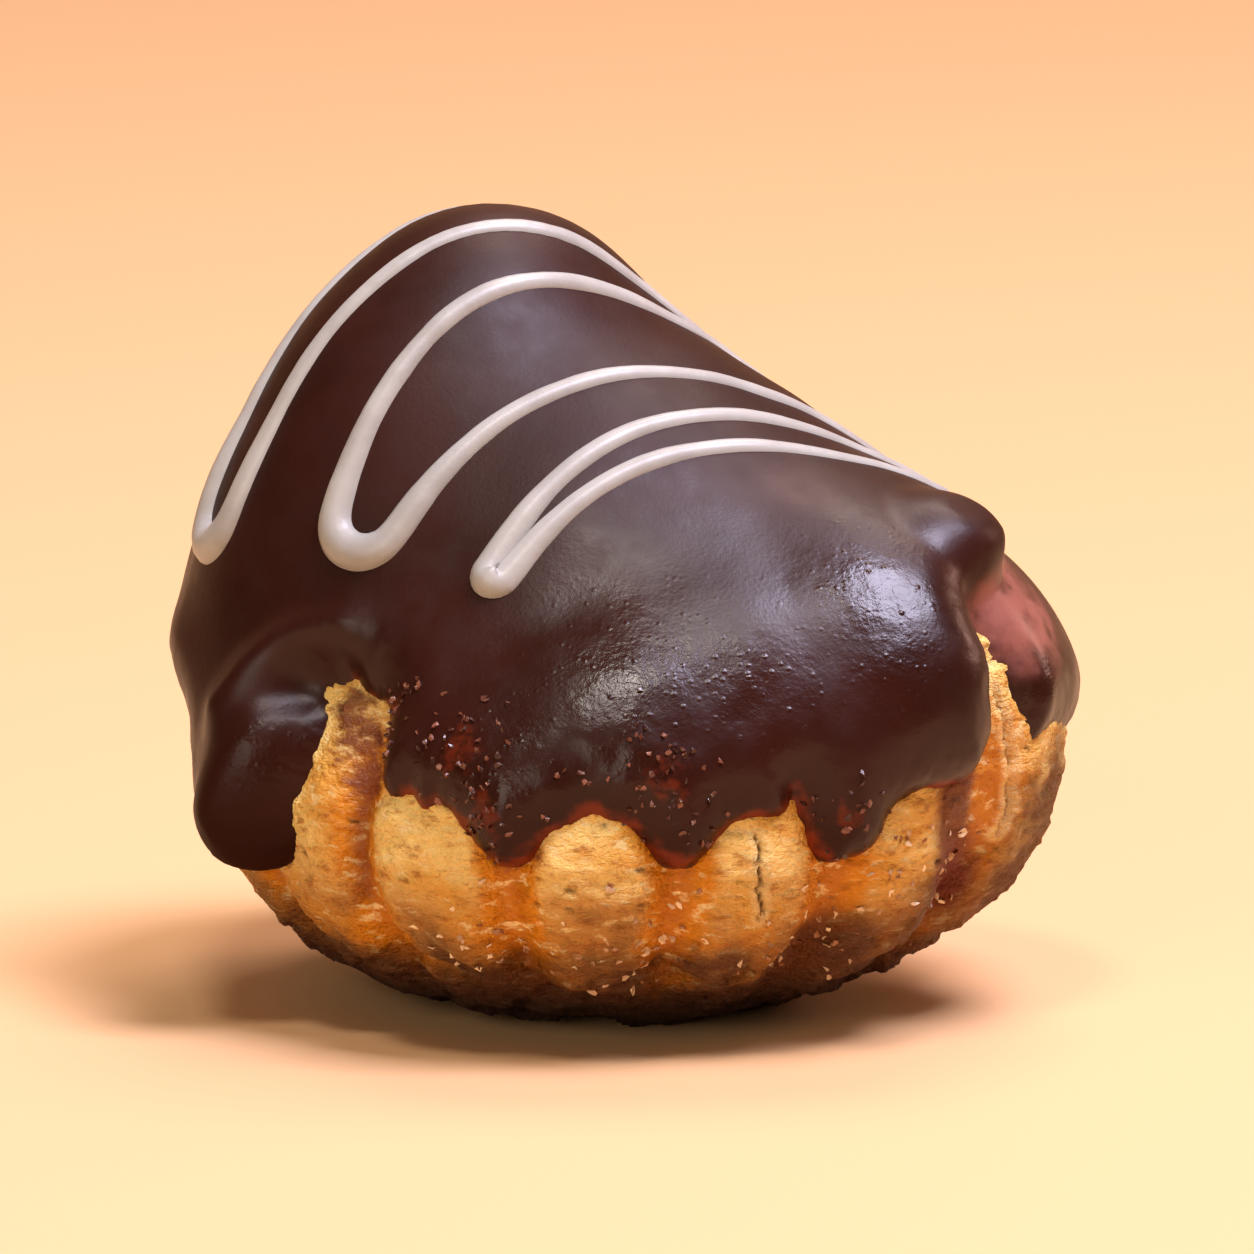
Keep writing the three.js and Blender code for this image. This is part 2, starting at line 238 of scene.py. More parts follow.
# Patches of the coat with crumbs on them.
CRUMB_PATCHES = (
    (-112.0, 13.6, 1.8),
    (-107.5, 11.6, 1.9),
    (-84.0, 12.8, 2.2),
    (-128.0, 15.0, 1.6),
    (-60.0, 11.4, 1.4),
    (60.0, 12.0, 2.0),
    (112.0, 12.4, 2.0),
)
# Patches of the crust with flakes on them.
FLAKE_PATCHES = (
    (-49.5, 9.4, 1.5),
    (-48.5, 8.0, 1.3),
    (-60.0, 4.4, 2.6),
    (-88.0, 4.6, 2.6),
    (-112.0, 5.0, 2.2),
    (-36.0, 7.6, 2.2),
    (10.0, 6.0, 2.6),
    (70.0, 6.0, 2.6),
    (130.0, 6.0, 2.6),
)

# Crumbs and flakes: width, depth and thickness as shares of their size, and how far they tip over.
CRUMB_SHAPE = (1.0, 1.0, 0.7)
FLAKE_SHAPE = (1.0, 0.7, 0.28)
CRUMB_TILT = math.pi
FLAKE_TILT = 0.6
SMALLEST_BIT = 0.3  # as a share of the largest
BIT_JAGGEDNESS = 0.3  # how far a corner is knocked about, as a share of the size

# The coat's finish: heights, and distances inside the edge.
THIN_RIM = (1.3, -0.4)  # distances over which thin chocolate starts to show at the edge
# The lobe's painted reflection of the pale backdrop starts over these heights and fades out below them.
LOBE_REFLECTION_RISE = (14.5, 18.5)  # heights over which the thin lobe starts to glow
DRY_TOP = (21.0, 27.0)  # heights over which the coat gets drier
LOW_SHEEN = (9.0, 15.0)  # heights over which the coat gets its sheen

# The stage, in metres.
FLOOR_HALF_WIDTH = 1.6
FLOOR_FRONT = -1.2
FLOOR_BACK = 0.5
FLOOR_BEND = 0.3  # radius of the bend up into the backdrop
BEND_STEPS = 16
BACKDROP_TOP = 1.2
# Azimuth from the camera's side, elevation, distance, width, watts and colour of each light.
LIGHTS = {
    "right_softbox": (62.0, 66.0, 0.55, 0.22, 6.2, "#dcd9f4"),
    "front_softbox": (-13.0, 66.0, 0.7, 0.12, 1.8, "#fff6ee"),
    "left_fill": (-30.0, 18.0, 0.9, 0.5, 3.0, "#fff1e0"),
    "back_softbox": (160.0, 60.0, 0.8, 0.34, 3.6, "#ffe6de"),
    "low_card": (118.0, 20.0, 0.6, 0.16, 0.7, "#ffc9b4"),
}

# How finely the surfaces are split.
CHOUX_COLUMNS = 640
CHOUX_ROWS = ((0.0, 60.0, 8), (60.0, 128.0, 100), (128.0, 150.0, 16), (150.0, 177.0, 4))
COAT_COLUMNS = 640
COAT_SHARES = ((0.0, 0.45, 36), (0.45, 1.0, 104))
COAT_INNER_ROWS = 6
COAT_FOOT = 6.8  # height down to which the coat's mesh goes on under the crust
COAT_INNER_DEPTH = 3.2  # depth at which its inside lies

# Settings of nodes: a soft start and end, colours, and the kind of input for each kind of value.
SOFT = {"interpolation_type": "SMOOTHSTEP"}
COLOUR = {"data_type": "RGBA"}
SOCKET_KINDS = {
    float: "NodeSocketFloat",
    int: "NodeSocketInt",
    tuple: "NodeSocketVector",
    bpy.types.Material: "NodeSocketMaterial",
    bpy.types.Object: "NodeSocketObject",
}


def linear(code):
    """Turns an sRGB hex colour into linear red, green and blue."""
    parts = [int(code[place:place + 2], 16) / 255.0 for place in (1, 3, 5)]
    return tuple(p / 12.92 if p <= 0.04045 else ((p + 0.055) / 1.055) ** 2.4 for p in parts)


def cycles(size):
    """The scale at which a pattern repeats about every so many metres."""
    return 1.0 / size


def length(label, about, millimetres, least=0.0):
    """A size that a user may change, down to the least one."""
    return FloatProperty(
        name=label,
        description=about,
        default=millimetres * MM,
        min=least * MM,
        precision=5,
        subtype="DISTANCE",
        unit="LENGTH",
    )


def colour(label, about, code):
    """A colour that a user may change."""
    return FloatVectorProperty(
        name=label,
        description=about,
        default=linear(code),
        min=0.0,
        max=1.0,
        subtype="COLOR",
    )


def number(label, about, value):
    """A plain number that a user may change."""
    return FloatProperty(name=label, description=about, default=value, min=0.0)


def angle(label, about, degrees):
    """An angle that a user may change."""
    return FloatProperty(
        name=label,
        description=about,
        default=math.radians(degrees),
        subtype="ANGLE",
        unit="ROTATION",
    )


def seed(value):
    """The start of a piece's random draws."""
    return IntProperty(name="Seed", description="Start of the random draws", default=value, min=0)


class ChouxSettings(bpy.types.PropertyGroup):
    """Sizes and colours of the baked choux."""

    rib_depth: length("Rib depth", "Depth of the nozzle's grooves", 1.0)
    lump_height: length("Lump height", "How far the crust heaves up and down", 0.9)
    lump_size: length("Lump size", "How wide one heave of the crust is", 4.5)
    wrinkle_height: length("Wrinkle height", "Height of the wrinkles of the crust", 1.1)
    wrinkle_size: length("Wrinkle size", "Length of one wrinkle", 2.2)
    pit_depth: length("Pit depth", "Depth of the burst bubbles in the crust", 0.22)
    pit_size: length("Pit size", "Distance between burst bubbles", 1.5)
    crack_depth: length("Crack depth", "Depth of the cracks", 0.4)
    scale_height: length("Scale height", "Step between the scales of crust at the foot", 0.55)
    scale_size: length("Scale size", "Width of a scale of crust at the foot", 1.6)
    seed: seed(7)
    patch_size: length("Patch size", "Width of a patch of paler or darker crust", 3.4)
    fleck_size: length("Fleck size", "Width of a fleck of crust", 1.1)
    grit_size: length("Grit size", "Width of a grain of crust", 0.2)
    grit_depth: length("Grit depth", "Depth of the flecks and grains", 0.3)
    patch_drift: length("Patch drift", "How far patches move the browning up or down", 8.0)
    # Cream is the driest flecks, and on the crack lips a painted highlight.
    cream: colour("Cream crust", "Colour of the driest flecks", "#f6d692")
    pale: colour("Pale crust", "Colour of the crowns of the ribs", "#fbd27a")
    gold: colour("Golden crust", "Colour of the toasted patches on the crowns", "#e7ae4c")
    # The orange and groove colours deepen the valleys and grooves: partly the crust's colour, partly
    # painted shade.
    orange: colour("Orange crust", "Colour of the smooth valleys between the ribs", "#da8804")
    groove: colour("Groove", "Colour deep in the grooves and of small flecks", "#a85c04")
    caramel: colour("Caramel crust", "Colour of the lower crust, above its foot", "#b8701a")
    # Brown also paints the shade on the crust's right end.
    brown: colour("Brown foot", "Colour of the browned foot", "#4e2105")
    # Dark is painted shade in the cracks and pits; at the very bottom it is browning and painted shade.
    dark: colour("Dark specks", "Colour of cracks, pits and the very bottom", "#2c1305")
    smear: colour("Smear", "Colour of thin chocolate smeared on the crust", "#6a2d20")
    # The furrow colour is painted shade in the furrows.
    furrow: colour("Furrow", "Colour of the furrows that baked dark", "#6a2004")


class CoatSettings(bpy.types.PropertyGroup):
    """Sizes and colours of the chocolate coat."""

    thickness: length("Thickness", "Thickness of the coat with its clearance", 1.6)
    root: length("Root", "How far past its edge the coat dips into the crust", 0.9)
    root_depth: length("Root depth", "How deep the coat's edge dips into the crust", 2.4)
    lip_reach: length("Lip reach", "Distance over which the coat grows to full thickness", 3.2)
    ragged: length("Ragged edge", "How far the edge wanders in and out", 0.9)
    ragged_size: length("Ragged size", "Distance between the edge's small tongues", 1.7)
    wave_height: length("Wave height", "Height of the slow waves that pouring left", 0.6)
    wave_size: length("Wave size", "Distance between slow waves", 8.0)
    dimple_height: length("Dimple height", "Height of the small dents", 0.03)
    dimple_size: length("Dimple size", "Distance between small dents", 1.6)
    seed: seed(3)
    flow_size: length("Flow size", "Width of the redder streaks", 7.0)
    blotch_size: length("Blotch size", "Width of the duller blotches", 1.4)
    crinkle_size: length("Crinkle size", "Width of a crinkle in a grainy patch", 0.9)
    bead_size: length("Bead size", "Distance between the beads in a grainy patch", 0.36)
    grain_size: length("Grain size", "Width of a grain of the skin", 0.2)
    grain_depth: length("Grain depth", "Depth of crinkles, beads and grain", 0.075)
    body: colour("Chocolate", "Colour of the thick coat", "#280e06")
    warm: colour("Warm chocolate", "Colour of the redder streaks", "#2f110a")
    thin: colour("Thin chocolate", "Colour where the coat is thin enough to glow red", "#7a2c12")
    # The lobe's colour: thin red-brown chocolate with a painted reflection of the pale backdrop.
    lobe: colour("Thin lobe", "Colour of the thin lobe beside the knob", "#8c5346")


class DrizzleSettings(bpy.types.PropertyGroup):
    """Sizes and colours of the piped white chocolate."""

    line_radius: length("Line radius", "Half the width of the piped line", 0.62)
    blob_radius: length("Blob radius", "Half the width at the near turns", 1.02)
    sink: length("Sink", "How far the line's middle lies under the coat's skin", 0.3)
    step: length("Step", "Distance between sections of the line", 0.09)
    wobble: number("Wobble", "Share by which the line's width varies", 0.3)
    wobble_size: length("Wobble size", "Distance over which the line's width varies", 4.0)
    seed: seed(5)
    cloud_size: length("Cloud size", "Width of the duller patches", 2.6)
    grain_size: length("Grain size", "Width of a grain of the skin", 0.35)
    grain_depth: length("Grain depth", "Depth of the skin's grain", 0.02)
    white: colour("White chocolate", "Colour of the line", "#a6a29a")
    shade: colour("Shaded white", "Colour of its duller patches", "#98938b")


class CrumbSettings(bpy.types.PropertyGroup):
    """Sizes and colours of crumbs on the coat and flakes on the crust."""

    crumb_size: length("Crumb size", "Largest half width of a crumb of chocolate", 0.22)
    flake_size: length("Flake size", "Largest half width of a flake of crust", 0.3)
    crumb_density: number("Crumbs", "Crumbs on a square metre of a patch", 3.2e6)
    flake_density: number("Flakes", "Flakes on a square metre of a patch", 1.6e6)
    seed: seed(11)
    grain_size: length("Grain size", "Width of a grain of the broken faces", 0.2)
    grain_depth: length("Grain depth", "Depth of the broken faces' grain", 0.03)
    crumb_dark: colour("Dark crumb", "Colour of the darkest crumb of chocolate", "#2c1007")
    crumb_light: colour("Light crumb", "Colour of the lightest crumb of chocolate", "#84503c")
    flake_dark: colour("Dark flake", "Colour of the darkest flake of crust", "#8a4a14")
    flake_light: colour("Light flake", "Colour of the lightest flake of crust", "#f0d4a8")


class StageSettings(bpy.types.PropertyGroup):
    """The floor, the lights and the camera."""

    elevation: angle("Camera height", "Angle of the camera above the horizon", 10.0)
    distance: length("Camera distance", "From the camera to the middle of the profiterole", 560.0)
    aim_height: length("Aim height", "Height of the point that the camera and the lights look at", 17.0)
    aim_side: length("Aim side", "Sideways place of the point that the camera looks at", -0.36, -20.0)
    lens: FloatProperty(name="Lens", description="Focal length", default=352.0, unit="CAMERA")
    floor: colour("Floor", "Colour of the pale floor", "#d6ab7b")
    tooth_size: length("Tooth size", "Width of a grain of the floor's card", 1.2)
    tooth_depth: length("Tooth depth", "Depth of the card's grain", 0.01)
    room: colour("Room", "Colour of the soft light from all round", "#ffe2c8")
    room_strength: number("Room strength", "Strength of the soft light from all round", 0.08)


class ProfiteroleSettings(bpy.types.PropertyGroup):
    """All the settings, a group for each operator and under its name."""

    choux: PointerProperty(type=ChouxSettings)
    coat: PointerProperty(type=CoatSettings)
    drizzle: PointerProperty(type=DrizzleSettings)
    crumbs: PointerProperty(type=CrumbSettings)
    stage: PointerProperty(type=StageSettings)


def bell(distance, half, power=2.0):
    """One at the middle, falling to nothing past the half width."""
    return np.exp(-np.abs(distance / half) ** power)


def smooth(value, low, high):
    """Nothing at low, one at high, with a soft start and end."""
    share = np.clip((value - low) / (high - low), 0.0, 1.0)
    return share * share * (3.0 - 2.0 * share)


def blend(first, second, share):
    """From the first to the second by a share."""
    return first + (second - first) * share


def turn_between(azimuth, other):
    """The turn in degrees from one azimuth to another, the short way."""
    return (azimuth - other + 180.0) % 360.0 - 180.0


def azimuth_of(points):
    """Azimuth in degrees about the heart's axis."""
    return np.degrees(np.arctan2(points[..., 1], points[..., 0]))


def level_direction(azimuth):
    """The level direction at an azimuth."""
    turn = np.radians(azimuth)
    return np.stack((np.cos(turn), np.sin(turn), np.zeros_like(turn)), axis=-1)


def lump_distance(points, middle, half, turn):
    """Signed distance to one lump, nearly."""
    away = points - np.array(middle)
    cos, sin = math.cos(math.radians(turn)), math.sin(math.radians(turn))
    turned = (away[:, 0] * cos + away[:, 1] * sin, away[:, 1] * cos - away[:, 0] * sin, away[:, 2])
    ratio = np.stack(turned, axis=-1) / np.array(half)
    reach = np.linalg.norm(ratio, axis=-1)
    slope = np.linalg.norm(ratio / np.array(half), axis=-1)
    return reach * (reach - 1.0) / np.maximum(slope, 1e-12)


def bun_distance(points):
    """Signed distance to the bun, nearly: the lumps joined, cut flat at the table."""
    joined = lump_distance(points, *LUMPS[0])
    for lump in LUMPS[1:]:
        other = lump_distance(points, *lump)
        share = np.clip(0.5 + 0.5 * (other - joined) / LUMP_BLEND, 0.0, 1.0)
        joined = blend(other, joined, share) - LUMP_BLEND * share * (1.0 - share)
    return np.maximum(joined, -points[:, 2])


def bun_hits(starts, directions):
    """Where rays from inside the bun come out of it."""
    low = np.zeros(len(directions))
    high = np.full(len(directions), LONGEST_RAY)
    for _ in range(SEARCH_STEPS):
        middle = (low + high) / 2.0
        inside = bun_distance(starts + directions * middle[:, None]) < 0.0
        low = np.where(inside, middle, low)
        high = np.where(inside, high, middle)
    return starts + directions * ((low + high) / 2.0)[:, None]


def bun_normals(points):
    """The bun's outward directions at points on its surface."""
    slopes = []
    for axis in range(3):
        step = np.zeros(3)
        step[axis] = SLOPE_STEP
        slopes.append(bun_distance(points + step) - bun_distance(points - step))
    normals = np.stack(slopes, axis=-1)
    return normals / np.linalg.norm(normals, axis=-1, keepdims=True)


def bun_points(azimuths, polars):
    """The bun's surface by azimuth and by angle from the top, in degrees."""
    down = np.radians(polars)[:, None]
    directions = level_direction(azimuths) * np.sin(down)
    directions[:, 2] = np.cos(down)[:, 0]
    return bun_hits(HEART, directions)


def side_points(azimuths, heights):
    """The bun's side at azimuths and heights."""
    starts = np.zeros((len(azimuths), 3))
    starts[:, 2] = heights
    return bun_hits(starts, level_direction(azimuths))


def edge_height(azimuth):
    """Height of the coat's lower edge."""
    waved = np.full_like(azimuth, EDGE_LEVEL)
    for middle, half, reach, bluntness in EDGE_WAVES:
        waved = waved - reach * bell(turn_between(azimuth, middle), half, bluntness)
    in_drip = bell(turn_between(azimuth, DRIP["azimuth"]), DRIP["half"], DRIP["bluntness"])
    return blend(waved, DRIP["foot"], in_drip)


def edge_line():
    """The coat's lower edge as a fine line of points."""
    azimuths = np.linspace(-180.0, 180.0, EDGE_POINTS, endpoint=False)
    return side_points(azimuths, edge_height(azimuths))


def edge_cover(points):
    """How far inside the coat's edge each point lies, negative outside."""
    line = edge_line()
    tree = KDTree(len(line))
    for index, point in enumerate(line):
        tree.insert(point, index)
    tree.balance()
    distance = np.array([tree.find(point)[2] for point in points])
    inside = points[:, 2] > edge_height(azimuth_of(points))
    return np.where(inside, distance, -distance)


def patch_share(points, patches):
    """One in the middle of a patch, falling off with distance from the nearest one."""
    spots = np.array(patches)
    middles = side_points(spots[:, 0], spots[:, 1])
    share = np.zeros(len(points))
    for middle, radius in zip(middles, spots[:, 2]):
        share = np.maximum(share, bell(np.linalg.norm(points - middle, axis=-1), radius))
    return share


def line_share(points, lines, half_width):
    """One along lines of azimuths and heights on the bun's side, falling off to their sides."""
    share = np.zeros(len(points))
    for line in lines:
        spots = np.array(line)
        corners = side_points(spots[:, 0], spots[:, 1])
        for start, end in zip(corners[:-1], corners[1:]):
            run = end - start
            along = np.clip((points - start) @ run / (run @ run), 0.0, 1.0)
            away = np.linalg.norm(points - start - along[:, None] * run, axis=-1)
            share = np.maximum(share, bell(away, half_width))
    return share


def lobe_share(points):
    """One on the thin lobe to the right of the knob, below the crease that parts it from the coat."""
    azimuth = azimuth_of(points)
    along = np.clip((azimuth - LOBE["from"]) / (LOBE["to"] - LOBE["from"]), 0.0, 1.0)
    crease = blend(LOBE["crease_from"], LOBE["crease_to"], along)
    below = 1.0 - smooth(points[:, 2], crease - LOBE["soft"], crease + LOBE["soft"])
    start = smooth(azimuth, LOBE["from"] - LOBE_START_FADE, LOBE["from"] + LOBE_START_FADE)
    end = 1.0 - smooth(azimuth, LOBE["to"] - LOBE_END_FADE, LOBE["to"] + LOBE_END_FADE)
    return below * start * end


def shoulder_share(points):
    """One where the front coat is heaped up towards the crease beside the lobe."""
    azimuth = azimuth_of(points)
    along = smooth(azimuth, *SHOULDER_START) * (1.0 - smooth(azimuth, *SHOULDER_END))
    return along * smooth(points[:, 2], *SHOULDER_FOOT) * (1.0 - smooth(points[:, 2], *SHOULDER_TOP))


def knob_share(points):
    """One on the flat of the knob, down to nothing at its rim."""
    middle = side_points(np.array([KNOB["azimuth"]]), np.array([KNOB["height"]]))[0]
    return 1.0 - smooth(np.linalg.norm(points - middle, axis=-1) / KNOB["radius"], KNOB["flat"], 1.0)


def drip_share(points):
    """One down the middle of the heavy drip's foot, fading up and to its sides."""
    across = bell(turn_between(azimuth_of(points), DRIP_SWELL["azimuth"]), DRIP_SWELL["half"])
    return across * (1.0 - smooth(points[:, 2], DRIP["foot"], DRIP_SWELL["top"]))


def steps(spans):
    """Even steps through each span of from, to and count, without the very first value."""
    values = [np.linspace(first, last, count + 1)[1:] for first, last, count in spans]
    return np.concatenate(values)


def add_mesh(name, points, faces, edges=()):
    """A mesh object in the part's frame from points in millimetres about the heart's axis."""
    mesh = bpy.data.meshes.new(name)
    mesh.from_pydata((points + PLACE) * MM, edges, faces)
    mesh.update()
    return bpy.data.objects.new(name, mesh)


def add_attribute(piece, name, values):
    """Stores a number, a yes or no, or a vector at each point of a piece."""
    values = np.asarray(values)
    if values.ndim == 2:
        kind, field = "FLOAT_VECTOR", "vector"
    elif values.dtype == bool:
        kind, field = "BOOLEAN", "value"
    else:
        kind, field = "FLOAT", "value"
    attribute = piece.data.attributes.new(name, kind, "POINT")
    attribute.data.foreach_set(field, values.astype(bool if kind == "BOOLEAN" else np.float32).ravel())


def wrap_faces(rows, columns):
    """Faces of one closed surface: a fan at each pole and quads between neighbouring rows."""
    ring = np.arange(columns)
    following = (ring + 1) % columns
    last = 1 + rows * columns
    faces = [(0, 1 + a, 1 + b) for a, b in zip(ring.tolist(), following.tolist())]
    for row in range(rows - 1):
        upper = 1 + row * columns
        lower = upper + columns
        quads = np.stack((upper + ring, lower + ring, lower + following, upper + following), axis=-1)
        faces.extend(quads.tolist())
    foot = last - columns
    faces.extend((last, foot + b, foot + a) for a, b in zip(ring.tolist(), following.tolist()))
    return faces


def fill_inputs(tree, node, inputs):
    """Sets a node's inputs by number or name: a node or an output is linked, all else is a value."""
    for key, value in inputs.items():
        entry = node.inputs[key] if isinstance(key, int) else next(
            socket for socket in node.inputs if socket.enabled and socket.name == key
        )
        if isinstance(value, bpy.types.Node):
            value = next(socket for socket in value.outputs if socket.enabled)
        if isinstance(value, bpy.types.NodeSocket):
            tree.links.new(value, entry)
        else:
            entry.default_value = (*value, 1.0) if entry.type == "RGBA" and len(value) == 3 else value


def add_node(tree, kind, inputs=None, **settings):
    """Adds a node with its settings and links."""
    node = tree.nodes.new(kind)
    for name, value in settings.items():
        setattr(node, name, value)
    fill_inputs(tree, node, inputs or {})
    return node


def new_tree(name, values):
    """An empty Geometry Nodes tree with one named input for each value, and its two end nodes."""
    tree = bpy.data.node_groups.new(name, "GeometryNodeTree")
    tree.interface.new_socket("Geometry", in_out="INPUT", socket_type="NodeSocketGeometry")
    tree.interface.new_socket("Geometry", in_out="OUTPUT", socket_type="NodeSocketGeometry")
    for label, value in values.items():
        tree.interface.new_socket(label, in_out="INPUT", socket_type=SOCKET_KINDS[type(value)])
    return tree, add_node(tree, "NodeGroupInput").outputs, add_node(tree, "NodeGroupOutput")


def run_tree(piece, tree, values):
    """Sets the tree's inputs on the piece by identifier and keeps the result as a plain mesh."""
    modifier = piece.modifiers.new(tree.name, "NODES")
    modifier.node_group = tree
    for socket in tree.interface.items_tree:
        if socket.in_out == "INPUT" and socket.name in values:
            modifier[socket.identifier] = values[socket.name]
    bpy.context.scene.collection.objects.link(piece)
    graph = bpy.context.evaluated_depsgraph_get()
    made = bpy.data.meshes.new_from_object(
        piece.evaluated_get(graph), preserve_all_data_layers=True, depsgraph=graph
    )
    if not made.polygons:
        raise RuntimeError(piece.name + " came out empty")
    piece.modifiers.clear()
    piece.data = made
    made.name = piece.name


def wander(tree, place, start, size, noise=EVEN_NOISE):
    """A slow random value about nought, which changes over the given size."""
    detail, harshness = noise
    scale = add_node(tree, "ShaderNodeMath", {0: 1.0, 1: size}, operation="DIVIDE")
    inputs = {"Vector": place, "W": start, "Scale": scale, "Detail": detail, "Roughness": harshness}
    value = add_node(tree, "ShaderNodeTexNoise", inputs, noise_dimensions="4D")
    return add_node(tree, "ShaderNodeMath", {0: value, 1: 0.5}, operation="SUBTRACT")


def finish_tree(tree, leave, geometry, material):
    """Ends a tree: smooth faces, no instances left, and the material on all of it."""
    shaded = add_node(tree, "GeometryNodeSetShadeSmooth", {"Geometry": geometry})
    real = add_node(tree, "GeometryNodeRealizeInstances", {"Geometry": shaded})
    dressed = add_node(tree, "GeometryNodeSetMaterial", {"Geometry": real, "Material": material})
    fill_inputs(tree, leave, {"Geometry": dressed})


def nozzle_groove(tree, position, start):
    """The height, and the share of a groove's depth there: smooth valleys between broad ribs, gone at
    the table and under the coat."""
    place = tuple(PLACE * MM)
    heart = add_node(tree, "ShaderNodeVectorMath", {0: position, 1: place}, operation="SUBTRACT")
    parts = add_node(tree, "ShaderNodeSeparateXYZ", {"Vector": heart}).outputs
    azimuth = add_node(tree, "ShaderNodeMath", {0: parts["Y"], 1: parts["X"]}, operation="ARCTAN2")
    twice = add_node(tree, "ShaderNodeMath", {0: azimuth, 1: 2.0}, operation="MULTIPLY")
    swing = add_node(tree, "ShaderNodeMath", {0: twice}, operation="SINE")
    swayed = {0: swing, 1: math.radians(RIB_UNEVEN), 2: azimuth}
    uneven = add_node(tree, "ShaderNodeMath", swayed, operation="MULTIPLY_ADD")
    first = math.radians(RIB_FIRST)
    since = add_node(tree, "ShaderNodeMath", {0: uneven, 1: first}, operation="SUBTRACT")
    phase = add_node(tree, "ShaderNodeMath", {0: since, 1: RIB_COUNT / 2.0}, operation="MULTIPLY")
    drift = wander(tree, position, start, RIB_DRIFT_SIZE * MM)
    bend = {0: drift, 1: RIB_WANDER, 2: phase}
    bent = add_node(tree, "ShaderNodeMath", bend, operation="MULTIPLY_ADD")
    wave = add_node(tree, "ShaderNodeMath", {0: bent}, operation="COSINE")
    groove = add_node(tree, "ShaderNodeMath", {0: wave, 1: RIB_NARROWNESS}, operation="POWER")
    for none, most in (RIB_FOOT, RIB_FADE[::-1]):
        ends = {"Value": parts["Z"], "From Min": none * MM, "From Max": most * MM}
        shown = add_node(tree, "ShaderNodeMapRange", ends, **SOFT)
        groove = add_node(tree, "ShaderNodeMath", {0: groove, 1: shown}, operation="MULTIPLY")
    return parts["Z"], groove


def baked_relief_tree(values):
    """Grooves, furrows, heaves, wrinkles, burst bubbles, cracks and scales on a bun of choux."""
    tree, entry, leave = new_tree("Baked relief", values)
    position = add_node(tree, "GeometryNodeInputPosition")
    height, groove = nozzle_groove(tree, position, entry["Seed"])
    lump = wander(tree, position, entry["Seed"], entry["Lump size"])
    flatter = (1.0, 1.0, CRUST_LAYERING)
    layered = add_node(tree, "ShaderNodeVectorMath", {0: position, 1: flatter}, operation="MULTIPLY")
    wrinkle = wander(tree, layered, entry["Seed"], entry["Wrinkle size"], WRINKLE_NOISE)
    calm = add_node(tree, "ShaderNodeMapRange", {"Value": groove, "To Min": 1.0, "To Max": GROOVE_CALM})
    wrinkled = add_node(tree, "ShaderNodeMath", {0: wrinkle, 1: calm}, operation="MULTIPLY")
    cells = []
    chances = []
    for size in ("Pit size", "Scale size"):
        spacing = add_node(tree, "ShaderNodeMath", {0: 1.0, 1: entry[size]}, operation="DIVIDE")
        cell = add_node(tree, "ShaderNodeTexVoronoi", {"Vector": layered, "Scale": spacing}).outputs
        cells.append(cell["Distance"])
        chances.append(add_node(tree, "FunctionNodeSeparateColor", {"Color": cell["Color"]}))
    burst = add_node(tree, "ShaderNodeMath", {0: chances[0], 1: BURST_SHARE}, operation="LESS_THAN")
    ends = {"Value": cells[0], "From Min": PIT_RIM, "From Max": PIT_FLOOR}
    hollow = add_node(tree, "ShaderNodeMapRange", ends, **SOFT)
    pit = add_node(tree, "ShaderNodeMath", {0: hollow, 1: burst}, operation="MULTIPLY")
    low, high = (edge * MM for edge in SCALY_FOOT)
    ends = {"Value": height, "From Min": low, "From Max": high, "To Min": 1.0, "To Max": SCALES_ABOVE}
    foot = add_node(tree, "ShaderNodeMapRange", ends, **SOFT)
    scale = add_node(tree, "ShaderNodeMath", {0: chances[1], 1: foot}, operation="MULTIPLY")
    crack, lip, furrow = (
        add_node(tree, "GeometryNodeInputNamedAttribute", {"Name": name}, data_type="FLOAT")
        for name in ("crack", "lip", "furrow")
    )
    terms = (
        (groove, "Rib depth", -1.0),
        (furrow, "Rib depth", -FURROW_DEPTH),
        (lump, "Lump height", 1.0),
        (wrinkled, "Wrinkle height", 1.0),
        (pit, "Pit depth", -1.0),
        (lip, "Crack depth", CRACK_LIP_RISE),
        (crack, "Crack depth", -1.0 - CRACK_LIP_RISE),
        (scale, "Scale height", -1.0),
    )
    rise = 0.0
    for share, size, sign in terms:
        signed = add_node(tree, "ShaderNodeMath", {0: entry[size], 1: sign}, operation="MULTIPLY")
        rise = add_node(tree, "ShaderNodeMath", {0: share, 1: signed, 2: rise}, operation="MULTIPLY_ADD")
    marked = entry["Geometry"]
    for name, share in (("groove", groove), ("pit", pit)):
        mark = {"Geometry": marked, "Name": name, "Value": share}
        marked = add_node(tree, "GeometryNodeStoreNamedAttribute", mark, data_type="FLOAT")
    normal = {"Name": "outward"}
    outward = add_node(tree, "GeometryNodeInputNamedAttribute", normal, data_type="FLOAT_VECTOR")
    offset = add_node(tree, "ShaderNodeVectorMath", {0: outward, "Scale": rise}, operation="SCALE")
    moved = add_node(tree, "GeometryNodeSetPosition", {"Geometry": marked, "Offset": offset})
    lowest = (-1.0, -1.0, 0.0)
    above = add_node(tree, "ShaderNodeVectorMath", {0: position, 1: lowest}, operation="MAXIMUM")
    standing = add_node(tree, "GeometryNodeSetPosition", {"Geometry": moved, "Position": above})
    finish_tree(tree, leave, standing, entry["Crust"])
    return tree


